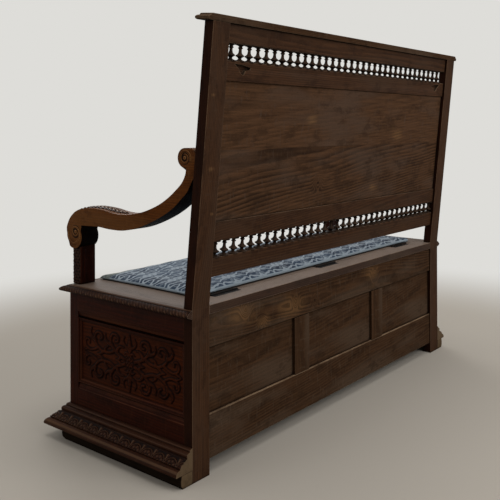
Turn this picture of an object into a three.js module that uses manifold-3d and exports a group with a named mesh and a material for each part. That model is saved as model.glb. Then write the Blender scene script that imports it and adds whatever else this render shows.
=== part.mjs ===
// Panelled oak box settle: a lidded chest seat between two framed ends, with S-scroll arms and a raked
// back that carries two galleries of turned spindles. Lengths are in millimetres, +Z is up, the bench
// runs along X and its front faces -Y. The origin is the middle of the whole piece on the floor.
import * as THREE from "three";
import { mergeVertices } from "three/addons/utils/BufferGeometryUtils.js";
import Module from "manifold-3d";

const wasm = await Module();
wasm.setup();

// Overall sizes
const settleWidth = 1512;
const boxDepth = 522;
const seatTop = 462;
const seatThickness = 25;
const boxUnderside = 42;
const backLength = 767;
const rake = THREE.MathUtils.degToRad(5.9);

// Timber sections and the play between pieces
const postWidth = 68;
const postDepth = 31;
const stileDepth = 40;
const railThickness = 23;
const panelThickness = 9;
const grooveDepth = 8;
const panelTongue = 7;
const play = 0.3;
const cutOverrun = 5;

// Framing of the box, front and back
const boxRailRecess = 4;
const boxTopRailHeight = 93.5;
const boxBottomRailHeight = 122.5;
const boxPanelSet = 9;
const boxPanelCount = 3;
const muntinWidth = 80;
const railChamfer = 3;

// Framing of the ends
const endTopFace = 52;
const endBottomFace = 106;
const endMouldingHeight = 20;
const endPanelSet = 9;
const endMouldingShares = [
  [0, 0],
  [0.18, 0.1],
  [0.3, 0.38],
  [0.52, 0.7],
  [0.88, 0.9],
  [1, 1],
];

// Bottom of the chest
const bottomBoardThickness = 14;
const bottomBoardCount = 4;
const boardGap = 1;
const bearerHeight = 22;
const bearerDepth = 20;
const bearerSet = 24;

// Seat boards and the lid
const hingeLine = 72;
const seatEndWidth = 116;
const lidGap = 1.5;
const seatFrontOverhang = 29;
const seatEndOverhang = 19;
const noseRoot = 12;
const noseShares = [
  [-1, 1],
  [0, 0.93],
  [0.4, 0.8],
  [0.78, 0.62],
  [1, 0.42],
  [0.94, 0.26],
  [0.5, 0.1],
  [0, 0],
];
const battenWidth = 44;
const battenThickness = 18;
const battenEndSet = 220;
const battenBackSet = 40;
const battenFrontSet = 60;

// Butt hinges of the lid
const hingeEndSet = 95;
const hingeLength = 118;
const hingeKnuckleRadius = 4.5;
const hingePinRadius = 2;
const hingeBoreRadius = 2.5;
const hingeLeafWidth = 17;
const hingeLeafThickness = 2.5;
const hingeKnuckleCount = 5;
const knuckleGap = 0.4;
const knuckleSides = 12;

// Raked back, measured up the post from the seat
const backRailRecess = 8;
const backPanelSet = 5;
const openGap = 74;
const bottomRailHeight = 53;
const lowerGalleryHeight = 45.6;
const lowerRailHeight = 55;
const midRailHeight = 55;
const upperGalleryHeight = 47;
const topRailHeight = 52;
const capThickness = 18.5;
const capFrontOverhang = 20;
const capEndOverhang = 19;
const capNoseShares = [
  [0.1, 1],
  [0.42, 0.95],
  [0.52, 0.84],
  [0.55, 0.7],
  [0.8, 0.62],
  [0.95, 0.48],
  [1, 0.3],
  [0.93, 0.1],
  [0.78, 0],
];

// Turned spindles of the galleries
const spindleRing = 10.3;
const spindleSides = 6;
const spindlePitch = 39.3;
const upperSpindleStart = 27.65;
const lowerSpindleStart = -7;
const spindleShares = [
  [0, 0.8],
  [0.06, 0.66],
  [0.14, 0.42],
  [0.25, 0.78],
  [0.32, 1],
  [0.4, 0.72],
  [0.62, 0.43],
  [0.8, 0.44],
  [0.85, 0.6],
  [0.9, 0.46],
  [1, 0.8],
];

// Screw pockets gouged in the back of the middle rail
const pocketEndSet = 142;
const pocketWidth = 69;
const pocketHeight = 29;
const pocketDepth = 9;
const pocketTopSet = 8;
const pocketShares = [
  [0.5, 0],
  [-0.02, 0.06],
  [-0.5, 0.25],
  [-0.46, 0.46],
  [-0.19, 0.55],
  [-0.07, 1],
  [0.1, 0.86],
  [0.2, 0.5],
];

// Scroll arms
const armWidth = 66;
const armInset = 6;
const armBackSet = 6;
const armReach = 543;
const armRise = 320;
const armSupportHeight = 110;
const armSupportWidth = 56;
const armSupportInset = 15;
const armSupportDepth = 37;
const armSupportSet = 24;
const scrollRadius = 37;
const voluteRadius = 27;
const bossProud = 2.5;
const scrollBossShare = 0.5;
const voluteBossShare = 0.46;
const scrollCentreShares = [0.928, 0.119];
const voluteCentreShares = [0.048, 0.915];
const armSeatShares = [0, 0.77];
const armTopShares = [
  [0.041, 0.834],
  [0.044, 0.784],
  [0.067, 0.71],
  [0.109, 0.642],
  [0.17, 0.564],
  [0.238, 0.498],
  [0.32, 0.442],
  [0.386, 0.41],
  [0.452, 0.39],
  [0.53, 0.378],
  [0.602, 0.385],
  [0.66, 0.4],
  [0.726, 0.41],
  [0.793, 0.409],
  [0.861, 0.395],
  [0.918, 0.36],
  [0.96, 0.305],
  [0.986, 0.24],
  [0.995, 0.17],
];
const armUndersideShares = [
  [0.861, 0.234],
  [0.717, 0.241],
  [0.623, 0.231],
  [0.523, 0.233],
  [0.452, 0.252],
  [0.386, 0.281],
  [0.321, 0.32],
  [0.244, 0.375],
  [0.176, 0.435],
  [0.121, 0.496],
  [0.074, 0.566],
  [0.038, 0.62],
  [0.015, 0.679],
  [-0.003, 0.73],
];

// Moulded plinth and the runners under it
const plinthHeight = 59;
const runnerHeight = 37;
const plinthEndOverhang = 62;
const plinthFrontOverhang = 51;
const plinthShares = [
  [0, 1],
  [0.13, 0.95],
  [0.33, 0.8],
  [0.35, 0.62],
  [0.44, 0.61],
  [0.6, 0.5],
  [0.76, 0.32],
  [0.84, 0.28],
  [0.96, 0.17],
  [1, 0.08],
  [0.97, 0],
];
const runnerOverhang = 44;
const runnerFrontSet = 16;
const runnerShares = [
  [0.84, 0],
  [0.97, 0.25],
  [1, 0.55],
  [0.93, 1],
];

// Seat cushion
const cushionEndGap = 28;
const cushionBack = 79;
const cushionFront = 511;
const cushionEdge = 13;
const cushionThinning = 6;
const cushionCrown = 15;
const cushionDrawIn = 7;
const cushionBulge = 4;
const cushionColumns = 26;
const cushionRows = 12;
const cushionLayers = 4;

// Sizes and places that follow from the ones above
const halfWidth = settleWidth / 2;
const innerHalf = halfWidth - postWidth;
const lidHalfWidth = halfWidth - seatEndWidth;
const battenPlace = lidHalfWidth - battenEndSet;
const hingePlace = lidHalfWidth - hingeEndSet;
const hingePlaces = [-hingePlace, 0, hingePlace];
const pocketPlace = halfWidth - pocketEndSet;
const cushionHalfWidth = halfWidth - armSupportInset - armSupportWidth - cushionEndGap;
const seatUnder = seatTop - seatThickness;
const boxPanelTop = seatUnder - boxTopRailHeight;
const boxPanelBottom = boxUnderside + boxBottomRailHeight;
const stileBack = -(boxDepth - stileDepth);
const endPanelTop = seatUnder - endTopFace - endMouldingHeight;
const endPanelBottom = boxUnderside + endBottomFace + endMouldingHeight;
const plinthTop = runnerHeight + plinthHeight;
const runnerLength = boxDepth - runnerFrontSet;
const lowerGalleryFoot = openGap + bottomRailHeight;
const lowerRailFoot = lowerGalleryFoot + lowerGalleryHeight;
const backPanelFoot = lowerRailFoot + lowerRailHeight;
const topRailFoot = backLength - topRailHeight;
const upperGalleryFoot = topRailFoot - upperGalleryHeight;
const backPanelTop = upperGalleryFoot - midRailHeight;
const capTop = backLength + capThickness;
const armFoot = seatTop + armSupportHeight;
const backReach = capTop * Math.sin(rake);
const frontReach = boxDepth + plinthFrontOverhang;

// Finishes
function finish(color, roughness, metalness = 0) {
  return new THREE.MeshStandardMaterial({ color, roughness, metalness });
}
const agedOak = finish(0x74675a, 0.8);
const panelOak = finish(0x7a6a5a, 0.8);
const darkOak = finish(0x4c332a, 0.65);
const armOak = finish(0x8a5f35, 0.55);
const seatOak = finish(0x80746a, 0.75);
const iron = finish(0x1c1b1a, 0.6, 0.8);
const cushionCloth = finish(0x7d94a8, 0.95);

// The group that the finished settle is exported as
const settle = new THREE.Group();
settle.position.y = (frontReach - backReach) / 2;

// The raked back stands on the seat line at the back of the box and leans towards +Y.
const rakedBack = new THREE.Group();
rakedBack.position.z = seatTop;
rakedBack.rotation.x = -rake;
rakedBack.updateMatrix();
settle.add(rakedBack);

// A group for each end; the left one mirrors the right one.
const ends = { right: new THREE.Group(), left: new THREE.Group() };
ends.left.scale.x = -1;
settle.add(ends.right, ends.left);

function addMesh(parent, name, geometry, material) {
  const mesh = new THREE.Mesh(geometry, material);
  mesh.name = name;
  parent.add(mesh);
  return mesh;
}

// A box from its low and high corners; a unit cube's corners are set to them exactly.
function block(xs, ys, zs) {
  const geometry = new THREE.BoxGeometry(1, 1, 1);
  const at = geometry.attributes.position;
  for (let i = 0; i < at.count; i++) {
    const x = xs[at.getX(i) < 0 ? 0 : 1];
    const y = ys[at.getY(i) < 0 ? 0 : 1];
    const z = zs[at.getZ(i) < 0 ? 0 : 1];
    at.setXYZ(i, x, y, z);
  }
  return geometry;
}

// An outline pushed from one end place to another, along the axis that the turn function gives it.
function pushed(outline, ends, turn) {
  const shape = new THREE.Shape(outline.map(([a, b]) => new THREE.Vector2(a, b)));
  const geometry = new THREE.ExtrudeGeometry(shape, { depth: 1, bevelEnabled: false });
  const at = geometry.attributes.position;
  for (let i = 0; i < at.count; i++) {
    const place = ends[at.getZ(i) > 0 ? 1 : 0];
    at.setXYZ(i, ...turn(at.getX(i), at.getY(i), place));
  }
  return geometry;
}

// Outlines of (y, z) run along X, outlines of (x, z) along -Y, and plans of (x, y) along Z.
const alongX = (outline, xs) => pushed(outline, xs, (y, z, x) => [x, y, z]);
const alongY = (outline, ys) => pushed(outline, [ys[1], ys[0]], (x, z, y) => [x, y, z]);
const alongZ = (outline, zs) => pushed(outline, zs, (x, y, z) => [x, y, z]);

// A closed geometry as a solid for cuts and joins
function solid(geometry) {
  const bare = geometry.clone();
  bare.deleteAttribute("normal");
  bare.deleteAttribute("uv");
  const merged = mergeVertices(bare);
  return new wasm.Manifold(
    new wasm.Mesh({
      numProp: 3,
      vertProperties: merged.attributes.position.array,
      triVerts: new Uint32Array(merged.index.array),
    }),
  );
}

function geometryOf(made) {
  const mesh = made.getMesh();
  const corners = new Float32Array(mesh.numVert * 3);
  for (let i = 0; i < mesh.numVert; i++) {
    const from = i * mesh.numProp;
    corners.set(mesh.vertProperties.subarray(from, from + 3), i * 3);
  }
  const geometry = new THREE.BufferGeometry();
  geometry.setAttribute("position", new THREE.BufferAttribute(corners, 3));
  geometry.setIndex(new THREE.BufferAttribute(new Uint32Array(mesh.triVerts), 1));
  geometry.computeVertexNormals();
  return geometry;
}

function less(body, ...tools) {
  return geometryOf(tools.map(solid).reduce((left, tool) => left.subtract(tool), solid(body)));
}

function joined(...pieces) {
  return geometryOf(pieces.map(solid).reduce((left, piece) => left.add(piece)));
}

function shared(...pieces) {
  return geometryOf(pieces.map(solid).reduce((left, piece) => left.intersect(piece)));
}

// A round bar along X, from its centre (y, z) and its ends
function roundAlongX(radius, sides, [y, z], [x0, x1]) {
  const geometry = new THREE.CylinderGeometry(radius, radius, x1 - x0, sides);
  geometry.rotateZ(-Math.PI / 2);
  return geometry.translate((x0 + x1) / 2, y, z);
}

// The groove that holds a panel's edge, and the panel in it, as depths from the frame's outer face
const grooveFrom = (set) => set - play;
const grooveTo = (set) => set + panelThickness + play;

// A stretch of Y between two distances behind a framed side's outer face
function behind(side, near, far) {
  return [side.outerY + side.inward * near, side.outerY + side.inward * far].sort((a, b) => a - b);
}

// A rail of a framed side, chamfered and grooved along the edge that meets the panels
function boxRail(side, sight, outer) {
  const depth = (distance) => side.outerY + side.inward * distance;
  const into = Math.sign(outer - sight);
  const near = grooveFrom(boxPanelSet);
  const far = grooveTo(boxPanelSet);
  const outline = [
    [depth(0), outer],
    [depth(0), sight + into * railChamfer],
    [depth(railChamfer), sight],
    [depth(near), sight],
    [depth(near), sight + into * grooveDepth],
    [depth(far), sight + into * grooveDepth],
    [depth(far), sight],
    [depth(railThickness), sight],
    [depth(railThickness), outer],
  ];
  return alongX(outline, [-innerHalf, innerHalf]);
}

// A muntin from its left edge: grooved down both edges, with a tenon for each rail's groove
function boxMuntin(side, left) {
  const right = left + muntinWidth;
  const body = block([left, right], behind(side, 0, railThickness), [boxPanelBottom, boxPanelTop]);
  const grooves = behind(side, grooveFrom(boxPanelSet), grooveTo(boxPanelSet));
  const heights = [boxPanelBottom - cutOverrun, boxPanelTop + cutOverrun];
  const grooved = less(
    body,
    block([left - cutOverrun, left + grooveDepth], grooves, heights),
    block([right - grooveDepth, right + cutOverrun], grooves, heights),
  );
  const tenon = block(
    [left + grooveDepth, right - grooveDepth],
    behind(side, boxPanelSet, boxPanelSet + panelThickness),
    [boxPanelBottom - panelTongue, boxPanelTop + panelTongue],
  );
  return joined(grooved, tenon);
}

function boxPanel(side, left, width) {
  return block(
    [left - panelTongue, left + width + panelTongue],
    behind(side, boxPanelSet, boxPanelSet + panelThickness),
    [boxPanelBottom - panelTongue, boxPanelTop + panelTongue],
  );
}

// One framed side of the box, between the corner pieces: two rails, with panels and muntins in turn
function boxSide(prefix, side, material) {
  addMesh(settle, prefix + "_top_rail", boxRail(side, boxPanelTop, seatUnder), material);
  addMesh(settle, prefix + "_bottom_rail", boxRail(side, boxPanelBottom, boxUnderside), material);
  const muntinCount = boxPanelCount - 1;
  const panelWidth = (2 * innerHalf - muntinCount * muntinWidth) / boxPanelCount;
  for (let i = 0; i < boxPanelCount; i++) {
    const left = -innerHalf + i * (panelWidth + muntinWidth);
    addMesh(settle, prefix + "_panel_" + (i + 1), boxPanel(side, left, panelWidth), panelOak);
    if (i === muntinCount) continue;
    addMesh(settle, prefix + "_muntin_" + (i + 1), boxMuntin(side, left + panelWidth), material);
  }
}

// Chest floor: boards laid front to back on two bearers, the outer ones notched round the corner pieces
function chestBottom() {
  const back = -(boxRailRecess + railThickness);
  const front = -(boxDepth - railThickness);
  const under = boxUnderside + bearerSet + bearerHeight;
  const heights = [under, under + bottomBoardThickness];
  const reach = halfWidth - railThickness - play;
  const boardWidth = (2 * reach - (bottomBoardCount - 1) * boardGap) / bottomBoardCount;
  for (let i = 0; i < bottomBoardCount; i++) {
    const x0 = -reach + i * (boardWidth + boardGap);
    const board = block([x0, x0 + boardWidth], [front + play, back - play], heights);
    addMesh(settle, "bottom_board_" + (i + 1), less(board, ...cornerNotches(heights)), panelOak);
  }
  const bearer = (ys) => block([-innerHalf + play, innerHalf - play], ys, [under - bearerHeight, under]);
  addMesh(settle, "bottom_bearer_back", bearer([back - bearerDepth, back]), panelOak);
  addMesh(settle, "bottom_bearer_front", bearer([front, front + bearerDepth]), panelOak);
}

// Room for the four corner pieces in a floor between two heights
function cornerNotches([low, high]) {
  const across = [innerHalf - play, halfWidth];
  const away = [-halfWidth, play - innerHalf];
  const heights = [low - cutOverrun, high + cutOverrun];
  const atPosts = [-postDepth - play, cutOverrun];
  const atStiles = [-boxDepth - cutOverrun, stileBack + play];
  return [across, away].flatMap((xs) => [block(xs, atPosts, heights), block(xs, atStiles, heights)]);
}

// Back post: upright behind the box, then raked above the seat, with a groove for each panel it holds
function backPost() {
  const lean = Math.tan(rake / 2) * postDepth;
  const length = backLength - play;
  const along = [Math.sin(rake), Math.cos(rake)];
  const backTop = [along[0] * length, seatTop + along[1] * length];
  const outline = [
    [0, 0],
    [0, seatTop],
    backTop,
    [backTop[0] - along[1] * postDepth, backTop[1] + along[0] * postDepth],
    [-postDepth, seatTop + lean],
    [-postDepth, 0],
  ];
  const boxGroove = block(
    [innerHalf - cutOverrun, innerHalf + grooveDepth],
    [-(boxRailRecess + grooveTo(boxPanelSet)), -(boxRailRecess + grooveFrom(boxPanelSet))],
    [boxPanelBottom - grooveDepth, boxPanelTop + grooveDepth],
  );
  const endGroove = block(
    [halfWidth - grooveTo(endPanelSet), halfWidth - grooveFrom(endPanelSet)],
    [-(postDepth + cutOverrun), -(postDepth - grooveDepth)],
    [endPanelBottom - grooveDepth, endPanelTop + grooveDepth],
  );
  const backGroove = block(
    [innerHalf - cutOverrun, innerHalf + grooveDepth],
    [-(backRailRecess + grooveTo(backPanelSet)), -(backRailRecess + grooveFrom(backPanelSet))],
    [backPanelFoot - grooveDepth, backPanelTop + grooveDepth],
  );
  backGroove.applyMatrix4(rakedBack.matrix);
  return less(alongX(outline, [innerHalf, halfWidth]), boxGroove, endGroove, backGroove);
}

// Front stile, from the floor to the seat, grooved for the end panel and the front panels
function frontStile() {
  const body = block([innerHalf, halfWidth], [-boxDepth, stileBack], [0, seatUnder]);
  const endGroove = block(
    [halfWidth - grooveTo(endPanelSet), halfWidth - grooveFrom(endPanelSet)],
    [stileBack - grooveDepth, stileBack + cutOverrun],
    [endPanelBottom - grooveDepth, endPanelTop + grooveDepth],
  );
  const frontGroove = block(
    [innerHalf - cutOverrun, innerHalf + grooveDepth],
    [-boxDepth + grooveFrom(boxPanelSet), -boxDepth + grooveTo(boxPanelSet)],
    [boxPanelBottom - grooveDepth, boxPanelTop + grooveDepth],
  );
  return less(body, endGroove, frontGroove);
}

// End rail: a flat face, then a moulding that falls to the panel, with the panel's groove under it.
// sign is 1 where the moulding runs down from the rail and -1 where it runs up.
function endRail(outer, face, sign) {
  const moulding = endMouldingShares.map(([inShare, downShare]) => [
    halfWidth - inShare * grooveFrom(endPanelSet),
    outer - sign * (face + downShare * endMouldingHeight),
  ]);
  const sight = outer - sign * (face + endMouldingHeight);
  const outline = [
    [halfWidth, outer],
    ...moulding,
    [halfWidth - grooveFrom(endPanelSet), sight + sign * grooveDepth],
    [halfWidth - grooveTo(endPanelSet), sight + sign * grooveDepth],
    [halfWidth - grooveTo(endPanelSet), sight],
    [halfWidth - railThickness, sight],
    [halfWidth - railThickness, outer],
  ];
  return alongY(outline, [stileBack, -postDepth]);
}

function endPanel() {
  return block(
    [halfWidth - endPanelSet - panelThickness, halfWidth - endPanelSet],
    [stileBack - panelTongue, -postDepth + panelTongue],
    [endPanelBottom - panelTongue, endPanelTop + panelTongue],
  );
}

// The moulded edge of a seat board: out from the box by the overhang, over the board's thickness
function noseOutline(root, overhang, toward) {
  return noseShares.map(([outShare, upShare]) => [
    toward * (root + (outShare < 0 ? outShare * noseRoot : outShare * overhang)),
    seatUnder + upShare * seatThickness,
  ]);
}

// A seat board's section from its inner edge to its moulded edge
function seatSection(inner, root, overhang, toward) {
  return [[inner, seatTop], ...noseOutline(root, overhang, toward), [inner, seatUnder]];
}

// End board of the seat: moulded along the end and the front, notched round the post and the back strip
function seatEnd() {
  const inner = lidHalfWidth + lidGap;
  const reach = halfWidth + seatEndOverhang + cutOverrun;
  const front = -(boxDepth + seatFrontOverhang + cutOverrun);
  const stripFront = -(hingeLine - lidGap / 2 + play);
  const plan = [
    [inner, stripFront],
    [inner, front],
    [reach, front],
    [reach, 0],
    [halfWidth + play, 0],
    [halfWidth + play, -postDepth - play],
    [innerHalf + play, -postDepth - play],
    [innerHalf + play, stripFront],
  ];
  const heights = [seatUnder - cutOverrun, seatTop + cutOverrun];
  const endSection = seatSection(inner - cutOverrun, halfWidth, seatEndOverhang, 1);
  const frontSection = seatSection(cutOverrun, boxDepth, seatFrontOverhang, -1);
  return shared(
    alongZ(plan, heights),
    alongY(endSection, [front, cutOverrun]),
    alongX(frontSection, [inner - cutOverrun, reach]),
  );
}

// Room for a hinge, cut in the strip and in the lid: a shallow seat for each leaf and a deeper one for
// the knuckles
function hingeSeat(place) {
  const xs = [place - hingeLength / 2 - play, place + hingeLength / 2 + play];
  const cut = (reach, depth) =>
    block(xs, [-hingeLine - reach, -hingeLine + reach], [seatTop - depth, seatTop + cutOverrun]);
  const knuckle = hingeKnuckleRadius + 2 * play;
  return [cut(hingeLeafWidth + play, hingeLeafThickness + play), cut(knuckle, knuckle)];
}

function backStrip() {
  const strip = block([-innerHalf, innerHalf], [-hingeLine + lidGap / 2, 0], [seatUnder, seatTop]);
  return less(strip, ...hingePlaces.flatMap(hingeSeat));
}

function lid() {
  const section = seatSection(-hingeLine - lidGap / 2, boxDepth, seatFrontOverhang, -1);
  return less(alongX(section, [-lidHalfWidth, lidHalfWidth]), ...hingePlaces.flatMap(hingeSeat));
}

function lidBatten(side) {
  const middle = side * battenPlace;
  const ys = [-(boxDepth - battenFrontSet), -(hingeLine + battenBackSet)];
  const xs = [middle - battenWidth / 2, middle + battenWidth / 2];
  return block(xs, ys, [seatUnder - battenThickness, seatUnder]);
}

// One leaf of a butt hinge, at the hinge's own middle: every second knuckle is its own, counted from
// first, and toward is the side its plate lies on. The fixed leaf keeps the pin.
function hingeLeaf(first, toward, keepsPin) {
  const pitch = hingeLength / hingeKnuckleCount;
  const start = -hingeLength / 2;
  const depth = hingeKnuckleRadius + play;
  const plate = block(
    [start, start + hingeLength],
    [0, toward * hingeLeafWidth].sort((a, b) => a - b),
    [-hingeLeafThickness, 0],
  );
  const knuckles = [];
  const cuts = [];
  for (let i = 0; i < hingeKnuckleCount; i++) {
    const own = i % 2 === first;
    const end = own ? -knuckleGap / 2 : knuckleGap / 2;
    const xs = [start + i * pitch - end, start + (i + 1) * pitch + end];
    if (own) knuckles.push(roundAlongX(hingeKnuckleRadius, knuckleSides, [0, 0], xs));
    else cuts.push(block(xs, [-depth, depth], [-depth, depth]));
  }
  const cleared = less(plate, ...cuts);
  const round = (radius, inset) =>
    roundAlongX(radius, knuckleSides, [0, 0], [start + inset, start + hingeLength - inset]);
  if (keepsPin) return joined(cleared, ...knuckles, round(hingePinRadius, knuckleGap));
  return less(joined(cleared, ...knuckles), round(hingeBoreRadius, -cutOverrun));
}

function lidHinges() {
  hingePlaces.forEach((place, i) => {
    const hinge = new THREE.Group();
    hinge.position.set(place, -hingeLine, seatTop);
    addMesh(hinge, "hinge_" + (i + 1) + "_fixed_leaf", hingeLeaf(0, 1, true), iron);
    addMesh(hinge, "hinge_" + (i + 1) + "_lid_leaf", hingeLeaf(1, -1, false), iron);
    settle.add(hinge);
  });
}

// A turned spindle standing on z = foot, run past its foot by the overrun so that it joins its rail
function spindle(x, foot, height) {
  const profile = spindleShares.map(
    ([upShare, ringShare]) => new THREE.Vector2(ringShare * spindleRing, upShare * height),
  );
  profile.unshift(new THREE.Vector2(profile[0].x, -cutOverrun));
  profile.unshift(new THREE.Vector2(0, -cutOverrun));
  profile.push(new THREE.Vector2(0, height));
  const geometry = new THREE.LatheGeometry(profile, spindleSides);
  geometry.rotateX(Math.PI / 2);
  return geometry.translate(x, -(backRailRecess + railThickness / 2), foot);
}

// A rail of the raked back, with the panel's groove along its top or bottom edge where it has one
function backRail(from, to, groove) {
  const y0 = -backRailRecess;
  const y1 = -(backRailRecess + railThickness);
  const body = block([-innerHalf, innerHalf], [y1, y0], [from, to]);
  if (!groove) return body;
  const edge = groove > 0 ? to : from;
  const cut = block(
    [-innerHalf - cutOverrun, innerHalf + cutOverrun],
    [y0 - grooveTo(backPanelSet), y0 - grooveFrom(backPanelSet)],
    [edge - (groove > 0 ? grooveDepth : cutOverrun), edge + (groove > 0 ? cutOverrun : grooveDepth)],
  );
  return less(body, cut);
}

// A row of spindles on the rail that carries them, as many as fit between the posts
function gallery(rail, foot, height, start) {
  const reach = innerHalf - spindleRing;
  const first = Math.ceil((-reach - start) / spindlePitch);
  const last = Math.floor((reach - start) / spindlePitch);
  const pieces = [rail];
  for (let i = first; i <= last; i++) pieces.push(spindle(start + i * spindlePitch, foot, height - play));
  return joined(...pieces);
}

// A ragged gouge for a screw in the back face of the middle rail
function screwPocket(side) {
  const top = upperGalleryFoot - pocketTopSet;
  const outline = pocketShares.map(([outShare, dropShare]) => [
    side * (pocketPlace + outShare * pocketWidth),
    top - dropShare * pocketHeight,
  ]);
  return alongY(outline, [-(backRailRecess + pocketDepth), -backRailRecess + cutOverrun]);
}

function raisedBack() {
  const lowerRow = gallery(
    backRail(openGap, lowerGalleryFoot, 0),
    lowerGalleryFoot,
    lowerGalleryHeight,
    lowerSpindleStart,
  );
  addMesh(rakedBack, "lower_gallery", lowerRow, agedOak);
  addMesh(rakedBack, "back_lower_rail", backRail(lowerRailFoot, backPanelFoot - play, 1), agedOak);
  const panel = block(
    [-innerHalf - panelTongue, innerHalf + panelTongue],
    [-(backRailRecess + backPanelSet + panelThickness), -(backRailRecess + backPanelSet)],
    [backPanelFoot - panelTongue, backPanelTop + panelTongue],
  );
  addMesh(rakedBack, "back_panel", panel, panelOak);
  const midRail = less(backRail(backPanelTop, upperGalleryFoot, -1), screwPocket(1), screwPocket(-1));
  const upperRow = gallery(midRail, upperGalleryFoot, upperGalleryHeight, upperSpindleStart);
  addMesh(rakedBack, "upper_gallery", upperRow, agedOak);
  addMesh(rakedBack, "back_top_rail", backRail(topRailFoot, backLength - play, 0), agedOak);
  addMesh(rakedBack, "cap_board", capBoard(), agedOak);
}

// Cap board: plain behind, moulded along the front and both ends
function capBoard() {
  const nose = (root, overhang) =>
    capNoseShares.map(([outShare, upShare]) => [
      root + outShare * overhang,
      backLength + upShare * capThickness,
    ]);
  const front = nose(postDepth, capFrontOverhang).map(([out, z]) => [-out, z]);
  const section = [[0, capTop], ...front, [0, backLength]];
  const end = nose(halfWidth, capEndOverhang);
  const otherEnd = end.map(([out, z]) => [-out, z]).reverse();
  const reach = halfWidth + capEndOverhang + cutOverrun;
  const run = postDepth + capFrontOverhang + cutOverrun;
  return shared(alongX(section, [-reach, reach]), alongY([...end, ...otherEnd], [-run, cutOverrun]));
}

// A place on the arm, from its shares of the reach and the rise
function armPlace([reachShare, riseShare]) {
  return [-armBackSet - reachShare * armReach, armFoot + riseShare * armRise];
}

// Points of an arc about a centre, counter-clockwise between two angles in degrees
function arcPoints([y, z], radius, from, to, steps) {
  const points = [];
  for (let i = 0; i <= steps; i++) {
    const angle = THREE.MathUtils.degToRad(from + ((to - from) * i) / steps);
    points.push([y + radius * Math.cos(angle), z + radius * Math.sin(angle)]);
  }
  return points;
}

// A smooth curve through places given by hand
function smooth(places, steps) {
  const curve = new THREE.SplineCurve(places.map(([a, b]) => new THREE.Vector2(a, b)));
  return curve.getPoints(steps).map((p) => [p.x, p.y]);
}

// The front face of the raked post at a height, set off by the play
function postFace(z) {
  return (z - seatTop) * Math.tan(rake) - postDepth / Math.cos(rake) - play;
}

// S-scroll arm: a small volute against the post, a sweep, and a large scroll over the support
function scrollArm() {
  const volute = armPlace(voluteCentreShares);
  const scroll = armPlace(scrollCentreShares);
  const shoulder = [postFace(volute[1]) - voluteRadius, volute[1]];
  const shoulderArc = arcPoints(shoulder, voluteRadius, 0, 90, 5);
  const voluteArc = arcPoints(volute, voluteRadius, 90, 285, 14);
  const scrollArc = arcPoints(scroll, scrollRadius, 235, 390, 12);
  const upper = smooth([voluteArc.at(-1), ...armTopShares.map(armPlace), scrollArc[0]], 34);
  const under = smooth(armUndersideShares.map(armPlace), 22);
  const seat = armPlace(armSeatShares);
  const outline = [
    [postFace(seat[1]), seat[1]],
    ...shoulderArc,
    ...voluteArc.slice(0, -1),
    ...upper.slice(0, -1),
    ...scrollArc,
    ...under,
  ];
  const outer = halfWidth - armInset;
  const xs = [outer - armWidth, outer];
  const bossEnds = [xs[0] - bossProud, xs[1] + bossProud];
  return joined(
    alongX(outline, xs),
    roundAlongX(scrollRadius * scrollBossShare, 20, scroll, bossEnds),
    roundAlongX(voluteRadius * voluteBossShare, 16, volute, bossEnds),
  );
}

// Arm support: stands on the seat and is hollowed on top to take the scroll
function armSupport() {
  const [middleY, middleZ] = armPlace(scrollCentreShares);
  const radius = scrollRadius + play;
  const front = -armBackSet - armReach + armSupportSet;
  const back = front + armSupportDepth;
  const angleAt = (y) => THREE.MathUtils.radToDeg(-Math.acos((y - middleY) / radius));
  const hollow = arcPoints([middleY, middleZ], radius, angleAt(back), angleAt(front), 8);
  const outer = halfWidth - armSupportInset;
  return alongX([[front, seatTop], [back, seatTop], ...hollow], [outer - armSupportWidth, outer]);
}

// Plinth moulding, as shares of its overhang and height
function plinthOutline(root, overhang, toward) {
  return [
    ...plinthShares.map(([outShare, upShare]) => [
      toward * (root + outShare * overhang),
      runnerHeight + upShare * plinthHeight,
    ]),
    [toward * root, runnerHeight],
  ];
}

// The plan corner where the end and front mouldings meet in a mitre
const plinthCorner = [halfWidth + plinthEndOverhang, -(boxDepth + plinthFrontOverhang)];

function plinthEnd() {
  const plan = [
    [halfWidth, 0],
    [halfWidth, -boxDepth + play],
    [plinthCorner[0], plinthCorner[1] + play],
    [plinthCorner[0], 0],
  ];
  const run = alongY(plinthOutline(halfWidth, plinthEndOverhang, 1), [plinthCorner[1], 0]);
  return shared(run, alongZ(plan, [runnerHeight, plinthTop]));
}

function plinthFront() {
  const plan = [
    [-halfWidth, -boxDepth],
    [-plinthCorner[0], plinthCorner[1]],
    [plinthCorner[0], plinthCorner[1]],
    [halfWidth, -boxDepth],
  ];
  const outline = plinthOutline(boxDepth, plinthFrontOverhang, -1);
  const run = alongX(outline, [-plinthCorner[0], plinthCorner[0]]);
  return shared(run, alongZ(plan, [runnerHeight, plinthTop]));
}

// Runner under the end plinth, with a rounded outer face and a rounded front end
function runner() {
  const side = runnerShares.map(([outShare, upShare]) => [
    halfWidth + outShare * runnerOverhang,
    upShare * runnerHeight,
  ]);
  const section = [[halfWidth, 0], ...side, [halfWidth, runnerHeight]];
  const nose = runnerShares.map(([outShare, upShare]) => [
    -(runnerLength - (1 - outShare) * runnerOverhang),
    upShare * runnerHeight,
  ]);
  const reach = halfWidth + runnerOverhang + cutOverrun;
  const longSection = [[0, 0], ...nose, [0, runnerHeight]];
  const body = alongY(section, [-runnerLength - cutOverrun, 0]);
  return shared(body, alongX(longSection, [halfWidth - cutOverrun, reach]));
}

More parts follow.
